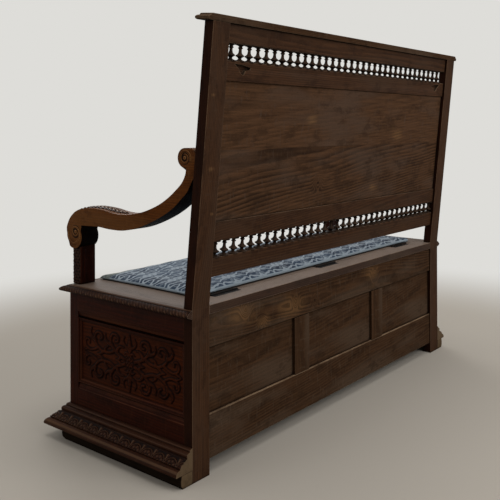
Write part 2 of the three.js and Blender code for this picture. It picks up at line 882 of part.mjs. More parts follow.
// Cushion: flat below, crowned above, bulging at the sides and drawn in between its corners
function cushion() {
  const geometry = new THREE.BoxGeometry(2, 2, 2, cushionColumns, cushionRows, cushionLayers);
  const halfDepth = (cushionFront - cushionBack) / 2;
  const middle = -(cushionFront + cushionBack) / 2;
  const at = geometry.attributes.position;
  const fall = (t) => 1 - t ** 4;
  for (let i = 0; i < at.count; i++) {
    const [u, v, w] = [at.getX(i), at.getY(i), at.getZ(i)];
    const swell = cushionBulge * (1 - w * w) - cushionBulge;
    const x = u * (cushionHalfWidth + swell - cushionDrawIn * (1 - v * v));
    const y = v * (halfDepth + swell - cushionDrawIn * (1 - u ** 8));
    const edge = cushionEdge - (cushionThinning * (1 - v)) / 2;
    const rise = edge + cushionCrown * fall(u) * fall(v);
    at.setXYZ(i, x, middle + y, seatTop + play + ((w + 1) / 2) * rise);
  }
  return geometry;
}

boxSide("box_back", { outerY: -boxRailRecess, inward: -1 }, agedOak);
boxSide("box_front", { outerY: -boxDepth, inward: 1 }, darkOak);
chestBottom();
addMesh(settle, "seat_back_strip", backStrip(), seatOak);
addMesh(settle, "seat_lid", lid(), seatOak);
addMesh(settle, "lid_batten_right", lidBatten(1), seatOak);
addMesh(settle, "lid_batten_left", lidBatten(-1), seatOak);
lidHinges();
raisedBack();
addMesh(settle, "plinth_front", plinthFront(), darkOak);
for (const [side, end] of Object.entries(ends)) {
  addMesh(end, "back_post_" + side, backPost(), agedOak);
  addMesh(end, "front_stile_" + side, frontStile(), darkOak);
  addMesh(end, "end_top_rail_" + side, endRail(seatUnder, endTopFace, 1), darkOak);
  addMesh(end, "end_bottom_rail_" + side, endRail(boxUnderside, endBottomFace, -1), darkOak);
  addMesh(end, "end_panel_" + side, endPanel(), darkOak);
  addMesh(end, "seat_end_" + side, seatEnd(), seatOak);
  addMesh(end, "arm_" + side, scrollArm(), armOak);
  addMesh(end, "arm_support_" + side, armSupport(), darkOak);
  addMesh(end, "plinth_" + side, plinthEnd(), darkOak);
  addMesh(end, "runner_" + side, runner(), darkOak);
}
addMesh(settle, "cushion", cushion(), cushionCloth);

export default settle;
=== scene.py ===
# %% [markdown]
# # A panelled oak settle with a lidded seat
# The packed model fixes every joint, board and size. This script dresses it: the boards keep their
# solids and get softened arrises and oak finishes, and the carved, turned and upholstered pieces are
# modelled again in full. All lengths are in metres, the bench runs along X and its front faces -Y.

# %% Load the packed model
import math
from typing import NamedTuple
import bmesh
import bpy
import numpy as np
from mathutils import Matrix, Vector


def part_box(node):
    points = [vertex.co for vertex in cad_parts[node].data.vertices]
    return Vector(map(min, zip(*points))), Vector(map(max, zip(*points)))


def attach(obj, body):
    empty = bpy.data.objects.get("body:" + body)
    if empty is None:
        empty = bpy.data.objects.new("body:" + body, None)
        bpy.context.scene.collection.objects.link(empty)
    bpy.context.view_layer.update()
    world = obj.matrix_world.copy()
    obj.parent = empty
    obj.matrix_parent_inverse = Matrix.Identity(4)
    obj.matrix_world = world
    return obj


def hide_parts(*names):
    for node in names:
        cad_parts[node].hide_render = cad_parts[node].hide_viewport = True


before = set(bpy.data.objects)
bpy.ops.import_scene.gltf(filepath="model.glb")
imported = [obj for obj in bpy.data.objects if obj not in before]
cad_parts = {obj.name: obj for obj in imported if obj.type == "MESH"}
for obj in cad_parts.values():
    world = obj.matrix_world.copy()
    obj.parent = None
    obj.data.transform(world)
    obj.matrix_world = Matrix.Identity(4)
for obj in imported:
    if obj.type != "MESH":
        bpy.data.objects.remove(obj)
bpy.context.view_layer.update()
MM = 0.001
SIDES = (("right", 1), ("left", -1))

# %% [markdown]
# The carved and turned pieces need the settle's own datum: the seat's height, the rear face of the
# lower posts, and the line about which the back leans. They are read from boards that touch them, so
# a new piece always meets its neighbours.

# %% Datum of the settle
SEAT_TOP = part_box("seat_lid")[1].z
POST_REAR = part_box("seat_back_strip")[1].y
HALF_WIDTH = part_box("end_top_rail_right")[1].x
BOX_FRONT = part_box("front_stile_right")[0].y
POST_WIDTH = 68 * MM
POST_DEPTH = 31 * MM
INNER_HALF = HALF_WIDTH - POST_WIDTH
RAKE = math.radians(5.9)
RAKED = Matrix.Translation((0, POST_REAR, SEAT_TOP)) @ Matrix.Rotation(-RAKE, 4, "X")
print("seat top", round(SEAT_TOP, 4), "rear face", round(POST_REAR, 4), "half width", round(HALF_WIDTH, 4))

# %% [markdown]
# The photograph was taken from behind the right end at chest height, with the camera level and the
# picture cropped downwards. Its place and focal length come from the straight edges of the bench. A
# vertical shift stands for the crop, so upright posts stay upright in the picture.

# %% Camera
PHOTO_SIDE = 500
FOCAL_PIXELS = 727.0
HORIZON_PIXEL = 126.3
CAMERA_PLACE = (2.1577, 1.5822, 0.9451)
CAMERA_TURNS = ((129.05, "Z"), (90.13, "X"), (-0.13, "Z"))


def placed(name, data):
    """A new object in the scene that holds a mesh, a lamp or a lens."""
    made = bpy.data.objects.new(name, data)
    bpy.context.scene.collection.objects.link(made)
    return made


bpy.context.scene.view_settings.view_transform = "Standard"
lens = bpy.data.cameras.new("photo_camera")
lens.sensor_width = 36.0
lens.lens = lens.sensor_width * FOCAL_PIXELS / PHOTO_SIDE
lens.shift_y = (HORIZON_PIXEL - PHOTO_SIDE / 2) / PHOTO_SIDE
camera = placed("photo_camera", lens)
heading, tilt, roll = (Matrix.Rotation(math.radians(turn), 4, axis) for turn, axis in CAMERA_TURNS)
camera.matrix_world = Matrix.Translation(CAMERA_PLACE) @ heading @ tilt @ roll
bpy.context.scene.camera = camera
print("lens", round(lens.lens, 2), "mm, shift", round(lens.shift_y, 4))

# %% [markdown]
# Colours are written here as a screen shows them, 0 to 255 a channel, because that is how they were read.
# The shader works in linear light, so one function turns the first into the second.

# %% Colours


def tone(red, green, blue):
    """A screen colour, 0 to 255 a channel, as linear light."""
    shares = (red / 255, green / 255, blue / 255)
    linear = [s / 12.92 if s <= 0.04045 else ((s + 0.055) / 1.055) ** 2.4 for s in shares]
    return (*linear, 1.0)


print("a mid grey of 128 is", round(tone(128, 128, 128)[0], 3), "in linear light")

# %% [markdown]
# A finish is a tree of nodes, and Blender's calls to make, set and link a node are long. A small class
# wraps them: each method adds a node and returns its output, and what is given to a method may be a
# number, a colour or another node's output. A finish then reads like a sum, from the wood outwards.

# %% Nodes and finishes


class Nodes:
    """A node tree that is filled one call at a time."""

    def __init__(self, tree):
        self.tree = tree

    def feed(self, socket, source):
        """Links another node's output to a socket, or sets the socket's value."""
        if isinstance(source, bpy.types.NodeSocket):
            self.tree.links.new(source, socket)
        elif source is not None:
            socket.default_value = source

    def add(self, kind, *inputs, **settings):
        """A new node; its inputs are fed in order, and its settings are set by name."""
        made = self.tree.nodes.new("ShaderNode" + kind)
        for key, value in settings.items():
            setattr(made, key, value)
        for socket, source in zip(made.inputs, inputs):
            self.feed(socket, source)
        return made

    def named(self, kind, **inputs):
        """A new node whose inputs are fed by name."""
        made = self.add(kind)
        for name, source in inputs.items():
            self.feed(made.inputs[name], source)
        return made

    def math(self, operation, *values, clamp=False):
        return self.add("Math", *values, operation=operation, use_clamp=clamp).outputs[0]

    def times(self, first, second, clamp=False):
        return self.math("MULTIPLY", first, second, clamp=clamp)

    def vector(self, operation, *values):
        made = self.add("VectorMath", *values, operation=operation)
        return made.outputs["Value"] if operation in ("LENGTH", "DISTANCE") else made.outputs[0]

    def scaled(self, vector, by):
        return self.vector("MULTIPLY", vector, by)

    def axes(self, vector):
        """The X, Y and Z of a vector, by name."""
        return self.add("SeparateXYZ", vector).outputs

    def joined(self, x, y, z):
        return self.add("CombineXYZ", x, y, z).outputs[0]

    def noise(self, vector, scale=1.0, detail=2.0, roughness=0.5):
        made = self.named("TexNoise", Vector=vector, Scale=scale, Detail=detail, Roughness=roughness)
        return made.outputs["Fac"]

    def band(self, value, low, high, first=0.0, last=1.0):
        """A smooth climb from first to last as value goes from low to high."""
        made = self.add("MapRange", value, low, high, first, last, interpolation_type="SMOOTHSTEP")
        return made.outputs[0]

    def mix(self, share, first, second, mode="MIX"):
        made = self.add("Mix", data_type="RGBA", blend_type=mode)
        for place, source in ((0, share), (6, first), (7, second)):
            self.feed(made.inputs[place], source)
        return made.outputs[2]

    def bump(self, height, distance):
        return self.named("Bump", Height=height, Distance=distance).outputs[0]


class Finish(Nodes):
    """A material, whose shader gets its colour, roughness and relief in one call."""

    def __init__(self, name):
        self.material = bpy.data.materials.new(name)
        self.material.use_nodes = True
        super().__init__(self.material.node_tree)
        self.shader = self.tree.nodes["Principled BSDF"]

    def surface(self, **values):
        for name, value in values.items():
            self.feed(self.shader.inputs[name.replace("_", " ").title().replace("Ior", "IOR")], value)
        return self.material


print("ways to add a node:", len([way for way in vars(Nodes) if not way.startswith("_")]))

# %% [markdown]
# The room is a pale floor under a pale wall. A wide disc makes the floor, and the world stands for the
# wall: rays from the camera, from gloss and through glass see the wall's tone, and all others see an
# even soft light. The floor fades into the same tone far from the bench, so no horizon shows.

# %% Floor and wall
WALL = tone(222, 221, 217)
FLOOR = tone(164, 157, 147)
FLOOR_RADIUS = 9.0
FADE_START = 1.3
FADE_STOP = 2.6
ROOM_LIGHT = (1.0, 0.985, 0.96, 1.0)
ROOM_STRENGTH = 0.42


def seen_share(nodes):
    """1 for the rays that see the backdrop: from the camera, from gloss and through glass."""
    ray = nodes.add("LightPath").outputs
    direct = nodes.math("MAXIMUM", ray["Is Camera Ray"], ray["Is Glossy Ray"])
    return nodes.math("MAXIMUM", direct, ray["Is Transmission Ray"])


disc = bmesh.new()
bmesh.ops.create_circle(disc, cap_ends=True, segments=96, radius=FLOOR_RADIUS)
floor = placed("floor", bpy.data.meshes.new("floor"))
disc.to_mesh(floor.data)
disc.free()
ground = Finish("pale_floor")
ground.surface(base_color=FLOOR, roughness=0.85, specular_ior_level=0.2)
from_middle = ground.vector("LENGTH", ground.add("TexCoord").outputs["Object"])
far_share = ground.times(seen_share(ground), ground.band(from_middle, FADE_START, FADE_STOP))
wall_glow = ground.add("Emission", WALL, 1.0).outputs[0]
faded = ground.add("MixShader", far_share, ground.shader.outputs[0], wall_glow)
ground.feed(ground.tree.nodes["Material Output"].inputs["Surface"], faded.outputs[0])
floor.data.materials.append(ground.material)

world = bpy.data.worlds.new("pale_room")
bpy.context.scene.world = world
world.use_nodes = True
room = Nodes(world.node_tree)
wall_light = room.tree.nodes["Background"]
room.feed(wall_light.inputs["Color"], WALL)
room_light = room.add("Background", ROOM_LIGHT, ROOM_STRENGTH)
chosen = room.add("MixShader", seen_share(room), room_light.outputs[0], wall_light.outputs[0])
room.feed(room.tree.nodes["World Output"].inputs["Surface"], chosen.outputs[0])
print("floor radius", FLOOR_RADIUS, "m, faded out by", FADE_STOP, "m")

# %% [markdown]
# Four large area lamps give soft light with gentle shadows: one overhead, one behind the bench on the
# camera's side, and weaker ones in front and at the end, so that no side is black.

# %% Lamps


def softbox(name, place, aim, side, power):
    """A square lamp of that side, at a place, facing a point."""
    lamp = bpy.data.lights.new(name, "AREA")
    lamp.shape = "SQUARE"
    lamp.size = side
    lamp.energy = power
    holder = placed(name, lamp)
    holder.location = place
    holder.rotation_euler = (Vector(aim) - Vector(place)).to_track_quat("-Z", "Y").to_euler()


softbox("window_behind", (-0.4, 3.6, 2.6), (0, 0, 0.6), 2.6, 85)
softbox("ceiling", (0, 0.2, 3.6), (0, 0, 0), 3.0, 60)
softbox("window_front", (-2.2, -3.4, 2.4), (0, 0, 0.5), 2.4, 45)
softbox("window_end", (3.9, -1.4, 2.2), (0.4, 0, 0.5), 2.0, 16)
print("lamps:", len(bpy.data.lights))

# %% [markdown]
# The oak differs by its place: dry and grey-brown behind, red-brown and polished on the ends, where the
# tones are darkened further as painted shade, rubbed to honey on the arms. Each kind is a set of tones: the
# wood between the rings, the ring lines, greyed wear, rubbed arrises and a grime tone that also paints
# shade, then its roughness and gloss, and any dust and painted sheen on the faces that look up.

# %% Tones of the oak


class Oak(NamedTuple):
    """The tones of one kind of oak surface, and how it takes the light."""

    pale: tuple
    dark: tuple
    worn: tuple
    rubbed: tuple
    grime_and_shade: tuple
    roughness: float
    gloss: float
    dust_and_sheen: tuple = None


# The grime tones are dirt in pores, knots and carving, and also serve as painted shade in corners, on faces
# that look down and behind the arms.
SOOT_AND_SHADE = tone(10, 6, 4)
DIRT_AND_SHADE = tone(4, 1, 1)
AGED_OAK = Oak(tone(67, 46, 30), tone(32, 21, 13), tone(74, 60, 48), tone(112, 92, 72), SOOT_AND_SHADE, 0.78, 0.02)
PANEL_OAK = Oak(tone(78, 54, 36), tone(34, 22, 14), tone(72, 57, 47), tone(112, 92, 72), SOOT_AND_SHADE, 0.75, 0.03)
POST_OAK = Oak(tone(66, 43, 27), tone(30, 17, 10), tone(60, 44, 33), tone(112, 92, 72), SOOT_AND_SHADE, 0.7, 0.04)
TURNED_OAK = Oak(tone(38, 25, 17), tone(17, 10, 7), tone(40, 28, 20), tone(70, 54, 42), SOOT_AND_SHADE, 0.6, 0.04)
# Part of this oak's darkness is painted shade for the bench's end, which faces away from the light.
DARK_OAK = Oak(tone(50, 17, 6), tone(18, 5, 2), tone(54, 26, 12), tone(84, 46, 26), DIRT_AND_SHADE, 0.5, 0.04)
CARVED_OAK = Oak(tone(50, 25, 12), tone(24, 10, 5), tone(62, 38, 22), tone(116, 88, 64), DIRT_AND_SHADE, 0.5, 0.06)
# The end panels' field is also darkened in part as painted shade for the bench's shaded end.
FIELD_OAK = Oak(tone(68, 28, 8), tone(24, 7, 3), tone(44, 18, 7), tone(80, 40, 17), DIRT_AND_SHADE, 0.5, 0.03)
ARM_OAK = Oak(tone(94, 52, 19), tone(44, 20, 7), tone(98, 64, 34), tone(140, 100, 62), DIRT_AND_SHADE, 0.5, 0.03)
# The seat oak's pale arris tone is partly a painted highlight on its arrises, and its dust tone on top is
# partly a painted sheen.
SEAT_OAK = Oak(
    tone(56, 37, 26), tone(28, 17, 11), tone(62, 48, 37), tone(150, 128, 110), SOOT_AND_SHADE, 0.6, 0.08,
    tone(104, 88, 77),
)
# The runners' very dark oak is painted shade under the plinth's lip.
SHADED_RUNNER_OAK = Oak(tone(30, 22, 15), tone(14, 9, 6), tone(30, 24, 18), tone(60, 48, 36), SOOT_AND_SHADE, 0.8, 0.02)
# The pale end grain tone also paints light on the ends that face the back.
LIT_END_GRAIN = tone(94, 77, 57)
KNOT_GOLD = tone(112, 82, 52)
# This multiplier reddens the posts' sides as red polish and darkens them, partly as painted shade.
REDDENED_AND_SHADED = (0.32, 0.16, 0.1, 1.0)
print("the dusty seat is", round(SEAT_OAK.dust_and_sheen[0] / SEAT_OAK.pale[0], 1), "times as light as its oak")

# %% [markdown]
# Each board is sawn from a log, so its figure is a cut through growth rings. The finish works that
# way: a point's distance from the log's heart gives the ring it lies in, slow noises bend the log and
# dip its heart, and knots push the rings aside. Where the heart dips through a board's face the rings
# close into long ovals, and far from it they run straight.

# %% Growth rings
GRAIN_ORDER = {"X": "XYZ", "Y": "YXZ", "Z": "ZXY"}
SLOW_SCALE = (1.3, 4.0, 4.0)
NEXT_PLACE = (7.3, 0, 0)
RIPPLES = ((7, 34, 34), 2.0, 0.5)
FAINT_PLACES = ((4, 22, 22), 2.0, 0.5)
RING_WIDTH = 5.5 * MM
KNOT_REACH = 2.2
KNOT_PUSH = 4.5


def grained(wood, board, look):
    """A noise drawn out along the grain. A look is its scale along and across, detail and roughness."""
    scale, detail, roughness = look
    return wood.noise(wood.scaled(board, scale), 1.0, detail, roughness)


def knot_nodes(wood, place, reach, knots, ring):
    """Pushes the rings aside round each knot and returns them with the knots' dark cores."""
    cores = 0.0
    for spot, size in knots:
        away = wood.vector("DISTANCE", place, tuple(spot))
        squared = wood.math("POWER", away, 2.0)
        near = wood.math("EXPONENT", wood.times(squared, -1 / (KNOT_REACH * size) ** 2))
        reach = wood.math("MULTIPLY_ADD", near, KNOT_PUSH * ring, reach)
        cores = wood.math("MAXIMUM", wood.band(away, 0.25 * size, 0.8 * size, 1.0, 0.0), cores)
    return reach, cores


def ring_nodes(wood, board, place, heart, ring, knots, wander, dip, tilt):
    """How dark the ring line is at a point, the point's share of its ring, and the knots' cores."""
    along, across, deep = wood.axes(board)
    slow = wood.scaled(board, SLOW_SCALE)
    bend = wood.math("MULTIPLY_ADD", wood.noise(slow, 1.6, 1.0), 2 * wander, -wander)
    farther = wood.vector("ADD", slow, NEXT_PLACE)
    sink = wood.math("MULTIPLY_ADD", wood.noise(farther, 1.5, 1.0), 2 * dip, -dip)
    ripple = wood.times(grained(wood, board, RIPPLES), 0.5 * ring)
    side = wood.math("ADD", wood.math("ADD", across, -heart[0]), bend)
    depth = wood.math("ADD", wood.math("MULTIPLY_ADD", along, tilt, deep), wood.math("ADD", sink, -heart[1]))
    reach = wood.math("ADD", wood.vector("LENGTH", wood.joined(side, depth, 0.0)), ripple)
    reach, cores = knot_nodes(wood, place, reach, knots, ring)
    turn = wood.math("FRACT", wood.times(reach, 1 / ring))
    rings = wood.times(wood.band(turn, 0.1, 0.85), wood.band(turn, 0.88, 1.0, 1.0, 0.0))
    return wood.times(rings, wood.band(grained(wood, board, FAINT_PLACES), 0.25, 0.6, 0.3, 1.0)), turn, cores


print("a knot pushes the rings", KNOT_PUSH, "rings aside")

# %% [markdown]
# Old age comes over the figure: streaks and open pores along the grain, grey clouds, dark blotches, and
# short scuffs across it. Then comes what depends on the form: rubbed arrises, dust and a painted sheen on
# top, painted shade on the faces that look down, and painted shade in corners, which the ambient occlusion
# node finds.

# %% Age, wear and dirt
STREAKS = ((7, 190, 190), 4.0, 0.65)
PORES = ((70, 1500, 1500), 1.0, 0.5)
CLOUDS = ((2.4, 9, 9), 3.0, 0.55)
BLOTCHES = ((9, 19, 19), 6.0, 0.68)
SCUFFS = ((120, 26, 26), 3.0, 0.6)
FORM_SHARE = "relief"


def aged(wood, oak, rings, cores, looks, bolder):
    """The colour of old oak from its rings and its five noises."""
    streaks, pores, clouds, blotches, scuffs = looks
    layers = [
        (wood.band(streaks, 0.38, 0.72, 0.0, 0.5), oak.dark),
        (wood.band(clouds, 0.46, 0.68, 0.0, 0.6), oak.worn),
        (wood.band(blotches, 0.38, 0.5, 0.45, 0.0), oak.dark),
        (wood.band(scuffs, 0.56, 0.73, 0.0, 0.5), oak.worn),
        (wood.band(pores, 0.6, 0.75, 0.0, 0.5), oak.grime_and_shade),
        (wood.times(cores, 0.75), oak.grime_and_shade),
    ]
    colour = wood.mix(wood.times(rings, 0.65 * bolder, clamp=True), oak.pale, oak.dark)
    for share, layer in layers:
        colour = wood.mix(share, colour, layer)
    return colour


def gilded(wood, colour, place, spots, turn, blotches):
    """Pale golden specks between the rings about each spot."""
    for spot, size in spots:
        offset = wood.scaled(wood.vector("SUBTRACT", place, tuple(spot)), (0.55, 1, 1))
        away = wood.times(wood.vector("LENGTH", offset), wood.band(blotches, 0.3, 0.7, 0.55, 1.8))
        between_rings = wood.band(turn, 0.2, 0.8, 1.0, 0.45)
        speck = wood.times(wood.band(away, 0.05 * size, size, 0.5, 0.0), between_rings)
        colour = wood.mix(speck, colour, KNOT_GOLD)
    return colour


def rubbed(wood, oak, colour, normal, blotches, carved, wear):
    """Grime in the ground of a carving and pale tops, or pale arrises on a plain board."""
    if carved:
        relief = wood.add("Attribute", attribute_name=FORM_SHARE, attribute_type="GEOMETRY").outputs["Fac"]
        colour = wood.mix(wood.band(relief, 0.05, 0.5, 0.85, 0.0), colour, oak.grime_and_shade)
        return wood.mix(wood.band(relief, 0.75, 1.0, 0.0, 0.6 * wear), colour, oak.rubbed)
    spread = wood.axes(wood.vector("ABSOLUTE", normal))
    squarest = wood.math("MAXIMUM", wood.math("MAXIMUM", spread["X"], spread["Y"]), spread["Z"])
    arris = wood.band(squarest, 0.93, 0.985, wear, 0.0)
    return wood.mix(wood.times(arris, wood.band(blotches, 0.35, 0.6, 0.25, 1.0)), colour, oak.rubbed)


print("noises in an old surface:", len((STREAKS, PORES, CLOUDS, BLOTCHES, SCUFFS)))

# %% [markdown]
# One function puts a finish together for a board. Most boards need only their oak, the way of their
# grain and the log's heart, and the rest is for what a few of them show: the glued seam of the wide
# panel, the sawn ends of the runners and the plinth with a painted light where they face the back, painted
# shade on the arms' back faces and in the grounds of their scrolls, and the red polish of the posts, whose
# sides are also darkened as painted shade.

# %% Oak finish


def oak_finish(
    name, oak, grain, middle, heart, ring=RING_WIDTH, knots=(), pale_spots=(), wander=10 * MM, dip=6 * MM,
    tilt=0.0, seam=None, bolder=1.0, carved=False, wear=0.6, painted_shade_reach=12 * MM, end_grain=0.0, painted_arm_shade=0.0,
    sunk=(), polished=0.0,
):
    """Oak with its grain along an axis. heart is the log's centre line in the two axes across the grain,
    measured from the board's middle; tilt slopes the heart through the face, which draws long ovals.
    knots are points of the board with their size. end_grain lightens the end faces that look back: end
    grain, and partly a painted light. painted_arm_shade darkens an arm's faces that look back and not up, as
    painted shade. sunk are round grounds on an arm's sides, as (y, z) and size, darkened as painted shade,
    and polished reddens and darkens the sides that face along X: red polish, and partly painted shade."""
    wood = Finish(name)
    whole = wood.add("TexCoord").outputs["Object"]
    place = whole
    if seam is not None:
        upper = wood.math("GREATER_THAN", wood.axes(whole)["Z"], seam)
        shift = wood.joined(wood.times(upper, 1.37), 0.0, wood.times(upper, -0.31))
        place = wood.vector("ADD", whole, shift)
    parts = wood.axes(wood.vector("SUBTRACT", place, tuple(middle)))
    board = wood.joined(*(parts[axis] for axis in GRAIN_ORDER[grain]))
    rings, turn, cores = ring_nodes(wood, board, whole, heart, ring, knots, wander, dip, tilt)
    if seam is not None:
        rings = wood.times(rings, wood.math("MULTIPLY_ADD", upper, -0.65, 1.0))
    looks = [grained(wood, board, look) for look in (STREAKS, PORES, CLOUDS, BLOTCHES, SCUFFS)]
    streaks, pores, clouds, blotches, scuffs = looks
    colour = aged(wood, oak, rings, cores, looks, bolder)
    colour = gilded(wood, colour, whole, pale_spots, turn, blotches)
    normal = wood.add("NewGeometry").outputs["True Normal"]
    colour = rubbed(wood, oak, colour, normal, blotches, carved, wear)
    facing = wood.axes(normal)
    if polished or painted_arm_shade or sunk:
        sideways = wood.math("ABSOLUTE", facing["X"])
    # Dust and a painted sheen lighten the faces that look up.
    if oak.dust_and_sheen is not None:
        dusty_and_sheened = wood.times(wood.band(facing["Z"], 0.7, 0.95), wood.band(blotches, 0.25, 0.6, 0.55, 0.9))
        colour = wood.mix(dusty_and_sheened, colour, oak.dust_and_sheen)
    # Painted shade: faces that look down are darkened towards the grime tone.
    colour = wood.mix(wood.band(facing["Z"], -0.75, -0.2, 0.7, 0.0), colour, oak.grime_and_shade)
    # Ends that face the back are lightened: end grain, and partly a painted light.
    if end_grain:
        lit_end_share = wood.times(wood.band(facing["Y"], 0.9, 0.98), wood.band(blotches, 0.3, 0.55, 0.5, end_grain))
        colour = wood.mix(lit_end_share, colour, LIT_END_GRAIN)
    # The sides along X are reddened and darkened: red polish, and partly painted shade.
    if polished:
        colour = wood.mix(wood.band(sideways, 0.7, 0.95, 0.0, polished), colour, REDDENED_AND_SHADED, "MULTIPLY")
    # Painted shade on the arm's faces that look back and not up.
    if painted_arm_shade:
        under = wood.times(wood.band(facing["Y"], 0.12, 0.3), wood.band(facing["Z"], 0.6, 0.85, painted_arm_shade, 0.0))
        colour = wood.mix(wood.times(under, wood.band(sideways, 0.6, 0.8, 1.0, 0.0)), colour, oak.grime_and_shade)
    # Painted shade in the round grounds of the scrolls, between the beads' turns.
    for spot, size in sunk:
        away = wood.vector("DISTANCE", wood.scaled(whole, (0, 1, 1)), (0, spot.x, spot.y))
        within = wood.band(away, 0.9 * size, size, 0.9, 0.0)
        colour = wood.mix(wood.times(within, wood.band(sideways, 0.7, 0.9)), colour, oak.grime_and_shade)
    # Painted shade: ambient occlusion darkens corners, creases and joints between boards.
    corners = wood.add("AmbientOcclusion", samples=6)
    wood.feed(corners.inputs["Distance"], painted_shade_reach)
    colour = wood.mix(wood.band(corners.outputs["AO"], 0.3, 0.92, 0.92, 0.0), colour, oak.grime_and_shade)
    relief_height = wood.math("MULTIPLY_ADD", pores, -0.6, wood.times(rings, -0.25))
    bumped = wood.bump(wood.math("MULTIPLY_ADD", streaks, -0.6, relief_height), 0.4 * MM)
    rough = wood.math("MULTIPLY_ADD", clouds, 0.18, oak.roughness - 0.09)
    return wood.surface(base_color=colour, roughness=rough, normal=bumped, specular_ior_level=oak.gloss)


print("rings are", round(RING_WIDTH / MM, 1), "mm apart where nothing else is said")

# %% [markdown]
# A board of the packed model keeps its solid. Modifiers join its loose triangles, flatten its faces and
# round its arrises by about a millimetre, as a hand plane leaves them, and its material is replaced.

# %% Dressing a board
ARRIS = 1.3 * MM


def middle_of(node):
    low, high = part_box(node)
    return (low + high) / 2


def soften(obj, width, segments=2):
    """Joins a solid's loose triangles and rounds its arrises."""
    weld = obj.modifiers.new("join", "WELD")
    weld.merge_threshold = 0.01 * MM
    flat = obj.modifiers.new("flat_faces", "DECIMATE")
    flat.decimate_type = "DISSOLVE"
    flat.angle_limit = math.radians(0.6)
    round_over = obj.modifiers.new("arris", "BEVEL")
    round_over.width = width
    round_over.segments = segments
    round_over.limit_method = "ANGLE"
    round_over.angle_limit = math.radians(38)
    round_over.miter_outer = "MITER_ARC"


def wear_finish(obj, finish):
    """Gives an object one finish in place of any other."""
    obj.data.materials.clear()
    obj.data.materials.append(finish)


def dress(node, oak, grain, heart, **figure):
    """Gives a board of the packed model its oak and its soft arrises."""
    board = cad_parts[node]
    wear_finish(board, oak_finish(node + "_oak", oak, grain, middle_of(node), heart, **figure))
    soften(board, ARRIS)


print("arrises are rounded by", round(ARRIS / MM, 1), "mm")

# %% [markdown]
# The back of the bench was never meant to be seen: its boards are dry, grey-brown and unpolished, with
# bold figure and knots in the wide ones. Long rails have their grain along X and posts along Z. The
# wide back panel is two boards glued edge to edge, so its figure changes at the seam.

# %% Back and box boards
PANEL_SEAM = 0.885
POST_SPOTS = [
    ((0.723, 0.285, 0.836), 12 * MM), ((0.737, 0.305, 1.032), 8 * MM), ((0.706, 0.272, 0.714), 8 * MM),
]
PANEL_SPOTS = [
    ((0.248, 0.286, 0.97), 30 * MM), ((-0.331, 0.28, 0.917), 38 * MM), ((-0.175, 0.261, 0.729), 26 * MM),
]
PANEL_KNOTS = [((0.183, 0.264, 0.766), 9 * MM)]
RAIL_KNOTS = [
    ((0.527, 0.243, 0.417), 9 * MM), ((0.278, 0.243, 0.394), 8 * MM), ((0.17, 0.243, 0.38), 7 * MM),
    ((-0.226, 0.243, 0.399), 9 * MM), ((0.452, 0.243, 0.367), 7 * MM),
]
RAIL_SPOTS = [
    ((0.55, 0.243, 0.41), 60 * MM), ((0.3, 0.243, 0.385), 66 * MM), ((-0.21, 0.243, 0.41), 48 * MM),
    ((0.44, 0.243, 0.37), 30 * MM),
]
for side, sign in SIDES:
    dress(
        "back_post_" + side, POST_OAK, "Z", (sign * 0.05, 0.03), ring=6 * MM, wander=7 * MM, bolder=0.8,
        pale_spots=POST_SPOTS, polished=0.9,
    )
dress(
    "back_panel", PANEL_OAK, "X", (-0.1, 0.034), ring=9 * MM, wander=11 * MM, dip=12 * MM, tilt=0.1,
    seam=PANEL_SEAM, bolder=1.3, knots=PANEL_KNOTS, pale_spots=PANEL_SPOTS,
)
dress("back_lower_rail", POST_OAK, "X", (0.03, -0.03), ring=7 * MM, dip=8 * MM, tilt=0.09)
dress("back_top_rail", POST_OAK, "X", (-0.05, 0.03), ring=7 * MM, dip=10 * MM)
dress("cap_board", AGED_OAK, "X", (0.02, -0.12))
FACES = [("box_back", AGED_OAK, RAIL_KNOTS, RAIL_SPOTS), ("box_front", DARK_OAK, (), ())]
for face, oak, knots, spots in FACES:
    dress(
        face + "_top_rail", oak, "X", (-0.02, -0.012), ring=8 * MM, wander=22 * MM, dip=22 * MM, tilt=-0.05,
        knots=knots, pale_spots=spots, bolder=1.2,
    )
    dress(
        face + "_bottom_rail", oak, "X", (0.03, -0.03), ring=8 * MM, wander=20 * MM, dip=12 * MM, tilt=0.06,
        wear=1.0,
    )
    for i in (1, 2):
        dress(face + "_muntin_" + str(i), oak, "Z", (0.03 * i, 0.03), ring=7 * MM)
for i in (1, 2, 3):
    dress(
        "box_back_panel_" + str(i), AGED_OAK, "X", (0.03, 0.02 * (i - 2)), ring=9 * MM, wander=24 * MM,
        dip=12 * MM, tilt=0.14 - 0.04 * i, bolder=0.8,
    )
for i in (1, 2, 3, 4):
    dress("bottom_board_" + str(i), PANEL_OAK, "Y", (0.04, 0.03))
for face in ("back", "front"):
    dress("bottom_bearer_" + face, PANEL_OAK, "X", (0.03, 0.02))
print("finishes in the file so far:", len(bpy.data.materials))

# %% [markdown]
# The ends and the seat were polished: dark red-brown oak on the ends, darkened further as painted shade,
# honey-brown where hands wear the arms. The top of the seat is dry; dust and a painted sheen lighten the
# faces that look up, and its arrises are pale from wear and a painted highlight. The runners are dark
# oak as painted shade under the plinth, with a painted light on their ends.

